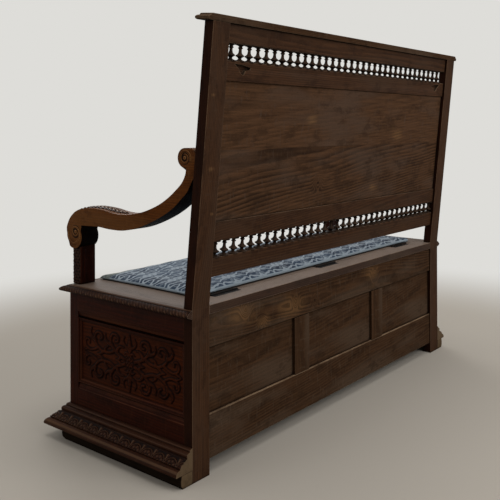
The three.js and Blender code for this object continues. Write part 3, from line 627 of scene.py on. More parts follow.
# %% Ends and seat boards
for side, sign in SIDES:
    dress("front_stile_" + side, DARK_OAK, "Z", (sign * 0.05, 0.03))
    dress("end_top_rail_" + side, DARK_OAK, "Y", (0.05, 0.03))
    dress("end_bottom_rail_" + side, DARK_OAK, "Y", (0.06, -0.03))
    # The seat ends' full arris wear is partly a painted highlight.
    dress("seat_end_" + side, SEAT_OAK, "Y", (0.03, -0.05), wear=1.0)
    dress("arm_support_" + side, DARK_OAK, "Z", (0.05, 0.05))
    # The runners' dark oak is painted shade under the plinth; their back ends get a painted light.
    dress("runner_" + side, SHADED_RUNNER_OAK, "Y", (0.05, 0.05), end_grain=0.85)
    dress("lid_batten_" + side, SEAT_OAK, "Y", (0.05, 0.05))
dress("seat_back_strip", SEAT_OAK, "X", (0.02, -0.04), wear=0.5)
dress("seat_lid", SEAT_OAK, "X", (0.05, -0.06))
print("finishes in the file so far:", len(bpy.data.materials))

# %% [markdown]
# A new piece always takes the same last steps: its bmesh becomes a mesh, its faces are shaded smooth up
# to sharp arrises, it gets its finish, it is parented to the empty of the body it rides on, and the plain
# solids it stands for are hidden. A few small tools for bmesh come first.

# %% Finishing a piece


def everything(form):
    return [*form.verts, *form.edges, *form.faces]


def of_kind(parts, kind=bmesh.types.BMVert):
    return [part for part in parts if isinstance(part, kind)]


def edge_of(form):
    return [edge for edge in form.edges if edge.is_boundary]


def facing_out(form):
    """Merges doubles and turns every face outwards."""
    bmesh.ops.remove_doubles(form, verts=form.verts, dist=0.004 * MM)
    bmesh.ops.recalc_face_normals(form, faces=form.faces)
    return form


def join(form, other):
    """Moves another form's mesh into a form."""
    spare = bpy.data.meshes.new("spare")
    other.to_mesh(spare)
    other.free()
    form.from_mesh(spare)
    bpy.data.meshes.remove(spare)


def piece(name, form, finish, slot, body="settle", replaces=(), crease=32):
    """Turns a bmesh into a named piece of the settle."""
    mesh = bpy.data.meshes.new(name)
    form.to_mesh(mesh)
    form.free()
    mesh.polygons.foreach_set("use_smooth", [True] * len(mesh.polygons))
    mesh.set_sharp_from_angle(angle=math.radians(crease))
    mesh.materials.append(finish)
    made = placed(name, mesh)
    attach(made, body)
    if replaces:
        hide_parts(*replaces)
    return made


def smooth_line(points, spacing):
    """A soft curve through points, with corners at about that spacing."""
    knots = [Vector(p) for p in points]
    ends = [2 * knots[0] - knots[1], *knots, 2 * knots[-1] - knots[-2]]
    line = []
    for before, start, stop, after in zip(ends, ends[1:], ends[2:], ends[3:]):
        steps = max(1, round((stop - start).length / spacing))
        for i in range(steps):
            t = i / steps
            pull = (stop - before) * t + (2 * before - 5 * start + 4 * stop - after) * t**2
            line.append(start + 0.5 * (pull + (3 * start - before - 3 * stop + after) * t**3))
    return [*line, knots[-1]]


print("a curve through 3 points has", len(smooth_line([(0, 0), (5, 5), (9, 0)], 1)), "corners")

# %% [markdown]
# In the packed model a row of spindles is one solid with its rail. The next step turns finer spindles,
# so the rail is kept by itself: a copy of the solid is cut level with the spindles' feet, and the cut
# is closed. This keeps the gouges in the upper rail.

# %% Rails of the galleries
LOWER_FOOT = 127 * MM
UPPER_FOOT = 668 * MM


def bare_rail(name, node, top, finish):
    """The rail under a row of spindles, cut from a copy of its solid with its gouges kept."""
    form = bmesh.new()
    form.from_mesh(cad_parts[node].data)
    bmesh.ops.transform(form, matrix=RAKED.inverted(), verts=form.verts)
    bmesh.ops.remove_doubles(form, verts=form.verts, dist=0.01 * MM)
    bmesh.ops.bisect_plane(
        form, geom=everything(form), plane_co=(0, 0, top - 0.05 * MM), plane_no=(0, 0, 1), clear_outer=True,
    )
    bmesh.ops.holes_fill(form, edges=edge_of(form), sides=0)
    bmesh.ops.dissolve_limit(form, angle_limit=math.radians(0.5), verts=form.verts, edges=form.edges)
    bmesh.ops.transform(form, matrix=RAKED, verts=form.verts)
    rail = piece(name, facing_out(form), finish, "aged_oak", replaces=[node])
    soften(rail, ARRIS)
    return len(rail.data.polygons)


# The rails' long occlusion reach paints deep shade in their gouges and joints.
lower_oak = oak_finish(
    "lower_rail_oak", POST_OAK, "X", middle_of("lower_gallery"), (0.07, 0.02), wear=0.3, painted_shade_reach=26 * MM
)
middle_oak = oak_finish(
    "middle_rail_oak", POST_OAK, "X", middle_of("back_top_rail"), (0.05, -0.04), wear=0.9, painted_shade_reach=26 * MM
)
lower_faces = bare_rail("gallery_rail_lower", "lower_gallery", LOWER_FOOT, lower_oak)
upper_faces = bare_rail("gallery_rail_upper", "upper_gallery", UPPER_FOOT, middle_oak)
print("faces of the rails:", lower_faces, "and", upper_faces)

# %% [markdown]
# A turned spindle is a profile spun about its axis: a foot, a sharp ring, a long waist, a small bead
# and a square-ish head. One is spun, then copied along the rail. On the real bench each spindle was
# turned on a lathe and glued between two rails.

# %% Turned spindles
SPINDLE_RADIUS = 10.6 * MM
SPINDLE_PITCH = 39.3 * MM
GALLERY_SET = 19.5 * MM
POST_ROOM = 10.3 * MM
SPINDLE_PROFILE = [
    (0, 0), (1.42, 0), (1.44, 0.02), (1.36, 0.05), (0.84, 0.08), (0.54, 0.12), (0.44, 0.16), (0.52, 0.21),
    (0.82, 0.26), (1.1, 0.295), (1.2, 0.33), (1.1, 0.365), (0.78, 0.41), (0.55, 0.47), (0.44, 0.56),
    (0.4, 0.68), (0.44, 0.735), (0.66, 0.765), (0.68, 0.8), (0.48, 0.835), (0.46, 0.87), (0.7, 0.915),
    (1.1, 0.945), (1.4, 0.96), (1.44, 0.98), (1.42, 1), (0, 1),
]


def spun(profile, radius, height, steps=18):
    """A closed turning about Z."""
    form = bmesh.new()
    corners = [form.verts.new((out * radius, 0, up * height)) for out, up in profile]
    sides = [form.edges.new(pair) for pair in zip(corners, corners[1:])]
    bmesh.ops.spin(
        form, geom=corners + sides, cent=(0, 0, 0), axis=(0, 0, 1), dvec=(0, 0, 0),
        angle=math.tau, steps=steps, use_merge=True, use_duplicate=False,
    )
    return facing_out(form)


def spindle_row(name, start, foot, height, finish):
    """Spindles a pitch apart from a middle place, as many as fit between the posts."""
    form = spun(SPINDLE_PROFILE, SPINDLE_RADIUS, height)
    first = everything(form)
    most = round(HALF_WIDTH / SPINDLE_PITCH)
    places = [start + i * SPINDLE_PITCH for i in range(-most, most + 1)]
    places = [x for x in places if abs(x) <= INNER_HALF - POST_ROOM]
    for x in places:
        copy = bmesh.ops.duplicate(form, geom=first)["geom"]
        bmesh.ops.translate(form, verts=of_kind(copy), vec=(x, -GALLERY_SET, foot))
    bmesh.ops.delete(form, geom=of_kind(first), context="VERTS")
    bmesh.ops.transform(form, matrix=RAKED, verts=form.verts)
    piece(name, form, finish, "aged_oak")
    return len(places)


turned_oak = oak_finish("turned_oak", TURNED_OAK, "Z", (0, POST_REAR, SEAT_TOP), (0.2, 0.1), ring=3 * MM)
lower_count = spindle_row("spindles_lower", -7 * MM, LOWER_FOOT, 45.4 * MM, turned_oak)
upper_count = spindle_row("spindles_upper", 27.65 * MM, UPPER_FOOT, 46.8 * MM, turned_oak)
print("spindles:", lower_count, "below and", upper_count, "above")

# %% [markdown]
# An arm is sawn from a thick board to an S, with a small volute at the post and a large scroll over its
# support. It could be a bent tube, but a sawn arm has flat sides and changes in depth along its way.
# So its upper and under edges are soft curves through a few points, and arcs close them at both ends.

# %% Outline of an arm
ARM_OUTER = HALF_WIDTH - 6 * MM
ARM_BACK = POST_REAR - 6 * MM
ARM_REACH = 543 * MM
ARM_RISE = 320 * MM
ARM_FOOT = SEAT_TOP + 110 * MM
ARM_WIDTH = 66 * MM
SCROLL_RADIUS = 37 * MM
VOLUTE_RADIUS = 27 * MM
ARM_TOP = [
    (0.041, 0.834), (0.044, 0.784), (0.067, 0.71), (0.109, 0.642), (0.17, 0.564), (0.238, 0.498),
    (0.32, 0.442), (0.386, 0.41), (0.452, 0.39), (0.53, 0.378), (0.602, 0.385), (0.66, 0.4),
    (0.726, 0.41), (0.793, 0.409), (0.861, 0.395), (0.918, 0.36), (0.96, 0.305), (0.986, 0.24),
    (0.995, 0.17),
]
ARM_UNDER = [
    (0.861, 0.234), (0.717, 0.241), (0.623, 0.231), (0.523, 0.233), (0.452, 0.252), (0.386, 0.281),
    (0.321, 0.32), (0.244, 0.375), (0.176, 0.435), (0.121, 0.496), (0.074, 0.566), (0.038, 0.62),
    (0.015, 0.679), (-0.003, 0.73),
]


def arm_place(shares):
    """A place on the arm, as (y, z), from its shares of the reach and the rise."""
    return Vector((ARM_BACK - shares[0] * ARM_REACH, ARM_FOOT + shares[1] * ARM_RISE))


def arc(centre, radius, start, stop, steps):
    """Points of an arc in degrees, from the rear axis upwards and over to the front."""
    turns = [math.radians(start + (stop - start) * i / steps) for i in range(steps + 1)]
    return [centre + radius * Vector((math.cos(t), math.sin(t))) for t in turns]


def post_face(z):
    """The front face of the leaning post at a height."""
    return POST_REAR + (z - SEAT_TOP) * math.tan(RAKE) - POST_DEPTH / math.cos(RAKE) - 0.3 * MM


SCROLL = arm_place((0.928, 0.119))
SCROLL_EYE = SCROLL + Vector((8 * MM, 15 * MM))
VOLUTE = arm_place((0.048, 0.915))
arm_shoulder = Vector((post_face(VOLUTE.y) - VOLUTE_RADIUS, VOLUTE.y))
arm_seat = arm_place((0, 0.77)).y
volute_arc = arc(VOLUTE, VOLUTE_RADIUS, 90, 285, 26)
scroll_arc = arc(SCROLL, SCROLL_RADIUS, 235, 390, 26)
arm_top_line = smooth_line([volute_arc[-1], *map(arm_place, ARM_TOP), scroll_arc[0]], 7 * MM)
arm_under_line = smooth_line(list(map(arm_place, ARM_UNDER)), 9 * MM)
arm_outline = [
    Vector((post_face(arm_seat), arm_seat)),
    *arc(arm_shoulder, VOLUTE_RADIUS, 0, 90, 9),
    *volute_arc[:-1],
    *arm_top_line[:-1],
    *scroll_arc,
    *arm_under_line,
]
print("arm outline:", len(arm_outline), "corners")

# %% [markdown]
# The outline becomes a flat face that is pushed out to the arm's width. A wide round bevel takes off the
# arrises, as a spokeshave does on the real arm. Both arms come from one form: the left one is its
# mirror image, with its faces turned so that they still look outwards.

# %% Arms with rounded arrises
# The arm's back faces and the grounds of its scrolls are darkened as painted shade.
arm_finish = oak_finish(
    "arm_oak", ARM_OAK, "Y", (0.73, -0.02, 0.72), (0.03, 0.16), ring=7 * MM, wander=14 * MM, dip=12 * MM,
    bolder=0.7, wear=0.5, painted_arm_shade=0.97, sunk=[(VOLUTE, 19 * MM), (SCROLL_EYE, 21 * MM)],
)


def arm_form():
    """The right arm, before it is mirrored to the left."""
    form = bmesh.new()
    corners = [form.verts.new((ARM_OUTER - ARM_WIDTH, y, z)) for y, z in arm_outline]
    side = form.faces.new(corners)
    pushed = bmesh.ops.extrude_face_region(form, geom=[side])["geom"]
    bmesh.ops.translate(form, verts=of_kind(pushed), vec=(ARM_WIDTH, 0, 0))
    facing_out(form)
    arrises = [e for e in form.edges if abs(e.verts[0].co.x - e.verts[1].co.x) < 0.001 * MM]
    bmesh.ops.bevel(
        form, geom=arrises, offset=5 * MM, segments=4, profile=0.5, affect="EDGES", material=-1,
        clamp_overlap=True,
    )
    return form


def both_ends(name, make, finish, slot, replaces=None, **more):
    """A piece for the right end and its mirror image for the left one."""
    made = []
    for side, sign in SIDES:
        form = make()
        if sign < 0:
            bmesh.ops.scale(form, vec=(-1, 1, 1), verts=form.verts)
            bmesh.ops.reverse_faces(form, faces=form.faces)
        nodes = [replaces + "_" + side] if replaces else []
        made.append(piece(name + "_" + side, form, finish, slot, replaces=nodes, **more))
    return made


arms = both_ends("scroll_arm", arm_form, arm_finish, "arm_oak", replaces="arm")
print("arm faces:", len(arms[0].data.polygons))

# %% [markdown]
# The turns of a scroll are raised beads about a round eye. Cutting them into the arm would need a very
# fine mesh, so each bead is a piece laid on it: a curve that winds in, because a curve's thickness can
# fall from point to point, flattened against the side. The eyes are flattened balls.

# %% Beads of the scrolls


def spiral_bead(centre, eye, outer, inner, turns, start, x, thick):
    """A flat band that winds in from a round about a centre to its eye, thinner as it goes."""
    curve = bpy.data.curves.new("bead", "CURVE")
    curve.dimensions = "3D"
    curve.bevel_depth = 1
    curve.bevel_resolution = 3
    curve.use_fill_caps = True
    line = curve.splines.new("POLY")
    steps = 64
    line.points.add(steps)
    for i in range(steps + 1):
        share = i / steps
        angle = math.radians(start) + share * turns * math.tau
        reach = outer + (inner - outer) * share**0.85
        hub = centre.lerp(eye, min(1.0, 1.4 * share))
        line.points[i].co = (x, hub.x + reach * math.cos(angle), hub.y + reach * math.sin(angle), 1)
        line.points[i].radius = thick * (1 - 0.45 * share)
    holder = bpy.data.objects.new("bead", curve)
    mesh = bpy.data.meshes.new_from_object(holder)
    bpy.data.objects.remove(holder)
    flatten = Matrix.Diagonal((0.55, 1, 1, 1))
    mesh.transform(Matrix.Translation((x, 0, 0)) @ flatten @ Matrix.Translation((-x, 0, 0)))
    return mesh


def eye_form(form, centre, radius, x):
    """A low round button at the middle of a scroll."""
    place = Matrix.Translation((x, centre.x, centre.y)) @ Matrix.Diagonal((0.45, 1, 1, 1))
    bmesh.ops.create_uvsphere(form, u_segments=24, v_segments=12, radius=radius, matrix=place)


def scroll_beads():
    form = bmesh.new()
    for x in (ARM_OUTER - 0.2 * MM, ARM_OUTER - ARM_WIDTH + 0.2 * MM):
        form.from_mesh(spiral_bead(SCROLL, SCROLL_EYE, 31.5 * MM, 9 * MM, 1.6, 150, x, 4.4 * MM))
        form.from_mesh(spiral_bead(VOLUTE, VOLUTE, 22 * MM, 9 * MM, 1.35, -20, x, 4.2 * MM))
        eye_form(form, SCROLL_EYE, 6.5 * MM, x)
        eye_form(form, VOLUTE, 5.4 * MM, x)
    return facing_out(form)


bead_finish = oak_finish("bead_oak", ARM_OAK, "Y", (0.73, -0.02, 0.72), (0.03, 0.16), wear=0.8)
both_ends("scroll_beads", scroll_beads, bead_finish, "arm_oak")
print("beads wound on both faces of each scroll")

# %% [markdown]
# A carver draws lines on the wood and sinks the ground between them. The relief is worked out in the same
# way: near a line the wood stands proud and rounds over to its edge, and away from all lines the ground
# is sunk and lightly punched. A line is a soft curve, and its width changes along it.

# %% Strokes and ground of a carving


def near_lines(across, up, lines):
    """How far inside the nearest stroke each point lies: 1 on its middle, 0 at its edge and beyond."""
    best = np.zeros_like(across)
    for line, start_width, stop_width in lines:
        path = smooth_line(line, 1.5)
        for i, point in enumerate(path):
            share = i / (len(path) - 1)
            width = start_width + (stop_width - start_width) * share
            away = np.hypot(across - point[0], up - point[1])
            best = np.maximum(best, 1 - away / width)
    return np.clip(best, 0, 1)


def rounded(inside):
    """The section of a carved stroke: a steep edge and a full top."""
    return np.sqrt(np.clip(inside * (2 - inside), 0, 1))


def punched(across, up):
    """The sunk ground: short tool marks, from -1 to 1."""
    return np.sin(across * 2.1 + 1.3 * np.sin(up * 1.7)) * np.sin(up * 2.3 + 0.9 * np.sin(across * 1.9))


print("a stroke's section, from its edge in:", rounded(np.array([0.0, 0.25, 0.5, 1.0])).round(2))

# %% [markdown]
# Two kinds of sheet carry relief, and both are grids of fine faces. A flat one is raised on its front and
# its rim is pushed back, which makes a board. A bent one is wrapped round a moulding's section and drawn
# along its run. Each corner keeps how high it stands, so that grime can settle in the ground and the
# high parts can be rubbed pale.

# %% Sheets of relief


def relief_block(width, height, thickness, spacing, lift):
    """A flat board about z = 0. Its front is a fine grid raised by lift(across, up), which gives heights
    in metres and how high each corner stands, from 0 to 1."""
    form = bmesh.new()
    standing = form.verts.layers.float.new(FORM_SHARE)
    columns = max(2, round(width / spacing))
    rows = max(2, round(height / spacing))
    bmesh.ops.create_grid(form, x_segments=columns, y_segments=rows, size=0.5)
    bmesh.ops.scale(form, vec=(width, height, 1), verts=form.verts)
    flat = np.array([v.co for v in form.verts])
    raised, shares = lift(flat[:, 0], flat[:, 1])
    for vert, up, share in zip(form.verts, raised, shares):
        vert.co.z = up
        vert[standing] = share
    rim = bmesh.ops.extrude_edge_only(form, edges=edge_of(form))["geom"]
    for vert in of_kind(rim):
        vert.co.z = -thickness
    bmesh.ops.holes_fill(form, edges=edge_of(form), sides=0)
    return facing_out(form)


def closed_run(columns, corners, place):
    """A closed bar: place(share, corner) gives each point of the section along the run, and how high
    it stands. The last corner of the section is the first again."""
    form = bmesh.new()
    standing = form.verts.layers.float.new(FORM_SHARE)
    bmesh.ops.create_grid(form, x_segments=columns, y_segments=corners - 1, size=0.5)
    for vert in form.verts:
        corner = round((0.5 + vert.co.y) * (corners - 1))
        vert.co, vert[standing] = place(0.5 + vert.co.x, corner)
    bmesh.ops.remove_doubles(form, verts=form.verts, dist=0.01 * MM)
    bmesh.ops.holes_fill(form, edges=edge_of(form), sides=0)
    return facing_out(form)


def stood(form, facing, place):
    """Turns a form made flat, its face along +Z, to face +X, -X or -Y at a place."""
    turn = Matrix.Rotation(math.radians(90 if facing.x > 0 else -90 if facing.x else 0), 4, "Z")
    stand = Matrix.Rotation(math.radians(90), 4, "X")
    bmesh.ops.transform(form, matrix=Matrix.Translation(place) @ turn @ stand, verts=form.verts)
    return form


print("each corner of a sheet keeps its height as", repr(FORM_SHARE))

# %% [markdown]
# Each end panel carries a low arabesque, a common pattern of the period: a rosette in the middle, a bud
# on a stem above and below it, and branching scrolls that curl inwards in the four corners. One
# quarter is drawn, and the other three are its reflections.

# %% Arabesque of the panels
ARABESQUE = [
    (
        [(13, 5), (34, 12), (56, 22), (76, 38), (86, 58), (79, 76), (63, 80), (51, 71), (53, 59), (63, 57)],
        6.0, 3.4,
    ),
    (
        [
            (66, 27), (90, 17), (118, 15), (142, 24), (158, 42), (158, 61), (145, 73), (129, 70), (124, 58),
            (133, 51),
        ],
        5.6, 3.2,
    ),
    ([(144, 23), (164, 12), (184, 9), (200, 17), (205, 32), (197, 43), (186, 40), (185, 31)], 4.6, 2.8),
    ([(82, 44), (98, 47), (109, 58), (110, 74)], 7.5, 1.6),
    ([(58, 24), (52, 37), (40, 45), (27, 44)], 7.0, 1.6),
    ([(38, 13), (48, 3), (62, 0)], 6.0, 2.0),
    ([(112, 16), (108, 28), (97, 35)], 6.0, 1.6),
    ([(120, 14), (134, 4), (150, 0)], 6.0, 2.0),
    ([(159, 46), (173, 53), (180, 67), (174, 82)], 7.5, 1.6),
    ([(190, 10), (204, 5), (214, 0)], 5.0, 1.8),
    ([(0, 14), (0, 40), (0, 52)], 4.0, 3.0),
    ([(0, 38), (9, 48), (20, 53), (28, 66), (22, 80)], 6.4, 1.6),
    ([(0, 50), (0, 66), (0, 90)], 9.0, 1.8),
    ([(2, 24), (12, 31), (22, 27)], 5.4, 1.6),
]
PETALS = 8
RELIEF_HEIGHT = 2.8
PANEL_TONGUE = 7 * MM


def arabesque(reach_across, reach_up):
    """Relief of the arabesque, stretched to a panel's half width and half height in millimetres."""

    def raised(across, up):
        x = np.abs(across / MM) * 216 / reach_across
        y = np.abs(up / MM) * 94 / reach_up
        inside = near_lines(x, y, ARABESQUE)
        height = rounded(inside) - 0.45 * np.clip((inside - 0.7) / 0.3, 0, 1) ** 2
        out = np.hypot(x, y)
        turn = np.arctan2(y, x)
        petals = np.clip(1.15 - np.abs(out - 10.5) / 7.5, 0, 1) ** 0.7
        petals = petals * np.abs(np.cos(PETALS / 2 * turn)) ** 0.6
        eye = np.clip(1 - (out / 4.4) ** 2, 0, 1) ** 0.5
        ring = np.clip(1 - np.abs(out - 20.5) / 2.2, 0, 1) ** 0.5
        rosette = np.maximum.reduce([petals, 1.2 * eye, 0.8 * ring])
        height = np.where(out < 22.7, rosette, height)
        edge = np.minimum(reach_across + 4 - np.abs(across / MM), reach_up + 4 - np.abs(up / MM))
        border = np.clip(edge / 3, 0, 1)
        ground = np.clip(1 - 4 * height, 0, 1)
        lift = MM * border * (RELIEF_HEIGHT * height + ground * (0.22 * punched(x, y) - 0.3))
        wider = [(line, 2.1 * start, 3.0 * stop) for line, start, stop in ARABESQUE]
        around = np.clip(near_lines(x, y, wider) * 2.2, 0, 1)
        close = np.maximum(around, np.clip((30 - out) / 6, 0, 1))
        shade = np.where(height > 0.4, 0.12 + 0.3 * height, 0.62 - 0.62 * close)
        return lift, np.where(border > 0, shade, 0.6)

    return raised


print("strokes in a quarter of the arabesque:", len(ARABESQUE))

# %% [markdown]
# A carved panel keeps the size and place of its plain board. A small moulding, mitred at its corners,
# runs round it inside the frame. It is a bent sheet of four lengths, whose corners are turned where two
# lengths meet, so the mitres close by themselves. The front panels repeat the carving of the ends.

# %% Carved panels and their mouldings


def carved_panel(node, facing, finish):
    """A panel with the arabesque on its face, facing +X, -X or -Y, in place of a plain board."""
    low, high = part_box(node)
    size = high - low
    middle = (low + high) / 2
    long_way = size.y if facing.x else size.x
    depth = size.x if facing.x else size.y
    lift = arabesque(long_way / 2 / MM - 22, size.z / 2 / MM - 20)
    place = middle + facing * depth / 2
    form = stood(relief_block(long_way, size.z, depth, 1.7 * MM, lift), facing, place)
    piece(node + "_carved", form, finish, "dark_oak", replaces=[node], crease=50)
    return place, long_way / 2 - PANEL_TONGUE, size.z / 2 - PANEL_TONGUE


TRIM_SECTION = [
    (0, 8.4), (1.6, 8.5), (2.6, 7.8), (2.9, 6.6), (3.4, 6.1), (5.2, 5.9), (7.4, 5.0), (9.2, 3.3),
    (10.1, 1.4), (10.6, 1.1), (11.8, 1.0), (12.2, -0.2), (0, -0.2), (0, 8.4),
]


def panel_trim(name, facing, place, half_across, half_up, finish):
    """The mitred moulding round a panel: its section is given from the frame's edge inwards."""

    def corner_place(share, corner):
        turn = round(share * 4) % 4
        inward, up = TRIM_SECTION[corner]
        side = 1 if turn in (0, 3) else -1
        level = 1 if turn in (0, 1) else -1
        inset = (inward + 0.1) * MM
        spot = Vector((side * (half_across - inset), level * (half_up - inset), up * MM))
        return spot, 0.95 if corner in (1, 6, 7) else 0.62

    form = stood(closed_run(4, len(TRIM_SECTION), corner_place), facing, place)
    return piece(name, form, finish, "dark_oak", crease=25)


def framed_carving(node, trim, facing, grain, heart, **figure):
    """A carved panel and the moulding round it, each in its own oak."""
    middle = middle_of(node)
    figure.update(dip=16 * MM, carved=True)
    panel_oak = oak_finish(node + "_oak", FIELD_OAK, grain, middle, heart, **figure)
    found = carved_panel(node, facing, panel_oak)
    trim_oak = oak_finish(trim + "_oak", DARK_OAK, grain, middle, (0.1, 0.1), carved=True)
    panel_trim(trim, facing, *found, trim_oak)


for side, sign in SIDES:
    outward = Vector((sign, 0, 0))
    framed_carving("end_panel_" + side, "end_trim_" + side, outward, "Y", (0.03, 0.02), ring=9 * MM)
for i in (1, 2, 3):
    forward = Vector((0, -1, 0))
    framed_carving("box_front_panel_" + str(i), "front_trim_" + str(i), forward, "X", (0.03, 0.03))
print("corners of a moulding's section:", len(TRIM_SECTION) - 1)

# %% [markdown]
# The plinth is a moulding run round three sides: two small beads, a sloping band of carved lunettes, and a
# plain ovolo. Its section is a row of points in millimetres, out from the box and up from the runners. A
# lunette is an arch filled with flutes, and its height on the band comes from a formula.

# %% Section and carving of the plinth
RUNNER_HEIGHT = 37 * MM
END_OVERHANG = 62 * MM
FRONT_OVERHANG = 51 * MM
PLINTH_BEADS = [
    (0, 59), (3, 58.8), (6.5, 57.6), (9, 55.2), (9.8, 52.6), (9.2, 51.2), (10.5, 50.6), (14, 50.2),
    (17.5, 48.8), (20, 46), (20.8, 42.5), (20.6, 39), (19.8, 37.2), (20.6, 36.4), (23, 36),
]
PLINTH_OVOLO = [
    (46.5, 18.6), (46.2, 17.2), (48, 16.8), (52, 16), (56, 13.8), (59.5, 10.2), (61.4, 6), (61.8, 2.6),
    (61, 0),
]
BEAD_TOPS = (3, 9)
GROOVES = (5, 13, 15)
BAND_START = Vector((24, 35.4))
BAND_STOP = Vector((46, 19.6))
BAND_STEPS = 18
LUNETTE = 46.0
LUNETTE_LIFT = 2.8


def lunettes(run, up):
    """Carving of the plinth's band, from 0 to 1: arches filled with flutes, a leaf between two arches."""
    place = run / MM % LUNETTE
    x = place - LUNETTE / 2
    y = up * 27
    out = math.hypot(x, y + 1.5)
    turn = math.atan2(y + 1.5, x)
    arch = max(0, 1 - abs(out - 21) / 2.2) ** 0.5
    within = min(1, max(0, (out - 7) / 2)) * min(1, max(0, (17.8 - out) / 2))
    flute = abs(math.sin(3.5 * turn)) ** 0.5 * within
    seed = max(0, 1 - (out / 5.4) ** 2) ** 0.5
    beside = min(place, LUNETTE - place)
    leaf = max(0, 1 - beside / (1.4 + 0.24 * y)) ** 0.5 if out > 23.6 and y < 25.5 else 0
    return max(arch, 0.85 * flute, seed, leaf) * min(1, max(0, (26.4 - y) / 1.2))


print("plinth lunettes are", LUNETTE, "mm wide")

# %% [markdown]
# A run of the plinth is a bent sheet whose band is raised where the carving stands. The real moulding is
# mitred at the two front corners. Here each point of the section has its own length of run, longer
# the farther out it is, and that makes the mitre without a cut.

# %% Runs of the plinth


def plinth_run(name, steps, place, finish, node, low_run, high_run):
    """A run of the plinth; place(out, up, run) gives a point, with run from low_run to high_run."""
    band = [BAND_START.lerp(BAND_STOP, i / BAND_STEPS) for i in range(BAND_STEPS + 1)]
    section = [Vector(p) for p in PLINTH_BEADS] + band + [Vector(p) for p in PLINTH_OVOLO]
    section += [Vector((0, 0)), Vector((0, 59))]
    first = len(PLINTH_BEADS)
    last = first + BAND_STEPS
    slope = (BAND_STOP - BAND_START).normalized()
    outward = Vector((-slope.y, slope.x))

    def corner_place(share, corner):
        out, up = section[corner]
        run = low_run(out) + share * (high_run(out) - low_run(out))
        rubbed = corner in BEAD_TOPS or last + 4 < corner < last + 7
        standing = 0.9 if rubbed else 0.2 if corner in GROOVES else 0.6
        if first <= corner <= last:
            raised = lunettes(run, 1 - (corner - first) / BAND_STEPS)
            out += outward.x * raised * LUNETTE_LIFT
            up += outward.y * raised * LUNETTE_LIFT
            standing = 0.1 + 0.9 * raised
        return place(out * MM, up * MM, run), standing

    form = closed_run(steps, len(section), corner_place)
    return piece(name, form, finish, "dark_oak", replaces=[node], crease=40)


def end_place(sign):
    return lambda out, up, run: Vector((sign * (HALF_WIDTH + out), run, RUNNER_HEIGHT + up))


def front_place(out, up, run):
    return Vector((run, BOX_FRONT - out * FRONT_OVERHANG / END_OVERHANG, RUNNER_HEIGHT + up))


for side, sign in SIDES:
    node = "plinth_" + side
    # The plinth's back ends are lightened as end grain and partly as a painted light.
    plinth_oak = oak_finish(
        node + "_oak", CARVED_OAK, "Y", middle_of(node), (0.05, 0.05), carved=True, end_grain=0.8
    )
    plinth_run(
        "plinth_carved_" + side, 400, end_place(sign), plinth_oak, node,
        lambda out: BOX_FRONT - out * MM * FRONT_OVERHANG / END_OVERHANG + 0.15 * MM, lambda out: POST_REAR,
    )
front_oak = oak_finish(
    "plinth_front_oak", CARVED_OAK, "X", middle_of("plinth_front"), (0.05, 0.05), carved=True
)
plinth_run(
    "plinth_carved_front", 1000, front_place, front_oak, "plinth_front",
    lambda out: -HALF_WIDTH - out * MM + 0.15 * MM, lambda out: HALF_WIDTH + out * MM - 0.15 * MM,
)
print("the plinth is", round(2 * (HALF_WIDTH / MM + END_OVERHANG / MM)), "mm wide over its ends")

# %% [markdown]
# The seat boards end in a thumb moulding carved with small overlapping leaves. The board keeps its
# solid, and the carving is a thin skin bent over the moulding, so the ends and the lid each carry
# their own length of it.

# %% Carved thumb moulding of the seat
SEAT_THICKNESS = 25 * MM
SEAT_END_OVERHANG = 19 * MM
SEAT_FRONT_OVERHANG = 29 * MM
NOSE_SHARES = [(0.0, 0.93), (0.4, 0.8), (0.78, 0.62), (1, 0.42), (0.94, 0.26), (0.5, 0.1)]
LEAF_UNIT = 12.0


def leaves(run, up):
    """Small slanting leaves along an edge, from 0 to 1; up is 0 at the lower edge and 1 at the upper."""
    stroke = abs(math.sin(math.pi * (run / MM + 30 * up) / LEAF_UNIT)) ** 0.8
    lobe = abs(math.sin(math.pi * (run / MM - 20 * up) / (2 * LEAF_UNIT))) ** 0.7
    within = math.sin(math.pi * min(1, up / 0.76)) ** 0.4 if up < 0.76 else 0
    height = stroke * (0.65 + 0.35 * lobe) * within
    line = min(1, max(0, (up - 0.82) / 0.04))
    return max(height, 0.9 * line)


def nose_skin(name, overhang, steps, place, low_run, high_run, finish, body):
    """The carved skin over one length of the moulding."""
    unit = overhang / MM
    section = smooth_line([(out * unit, up * SEAT_THICKNESS / MM) for out, up in NOSE_SHARES], 1.6)
    inner = [p - Vector((1.6, 0)) for p in reversed(section)]
    loop = [*section, *inner, section[0]]
    last = len(section) - 1

    def corner_place(share, corner):
        out, up = loop[corner]
        run = low_run(out) + share * (high_run(out) - low_run(out))
        standing = 0.3
        if corner <= last:
            raised = leaves(run, 1 - corner / last)
            beside = section[min(corner + 1, last)] - section[max(corner - 1, 0)]
            outward = Vector((-beside.y, beside.x)).normalized()
            outward *= 1 if outward.x > 0 else -1
            out += outward.x * (0.3 + 2.3 * raised)
            up += outward.y * (0.1 + 1.0 * raised)
            standing = 0.05 + 0.95 * raised
        return place(out * MM, up * MM, run), standing

    return piece(name, closed_run(steps, len(loop), corner_place), finish, "seat_oak", body=body, crease=40)


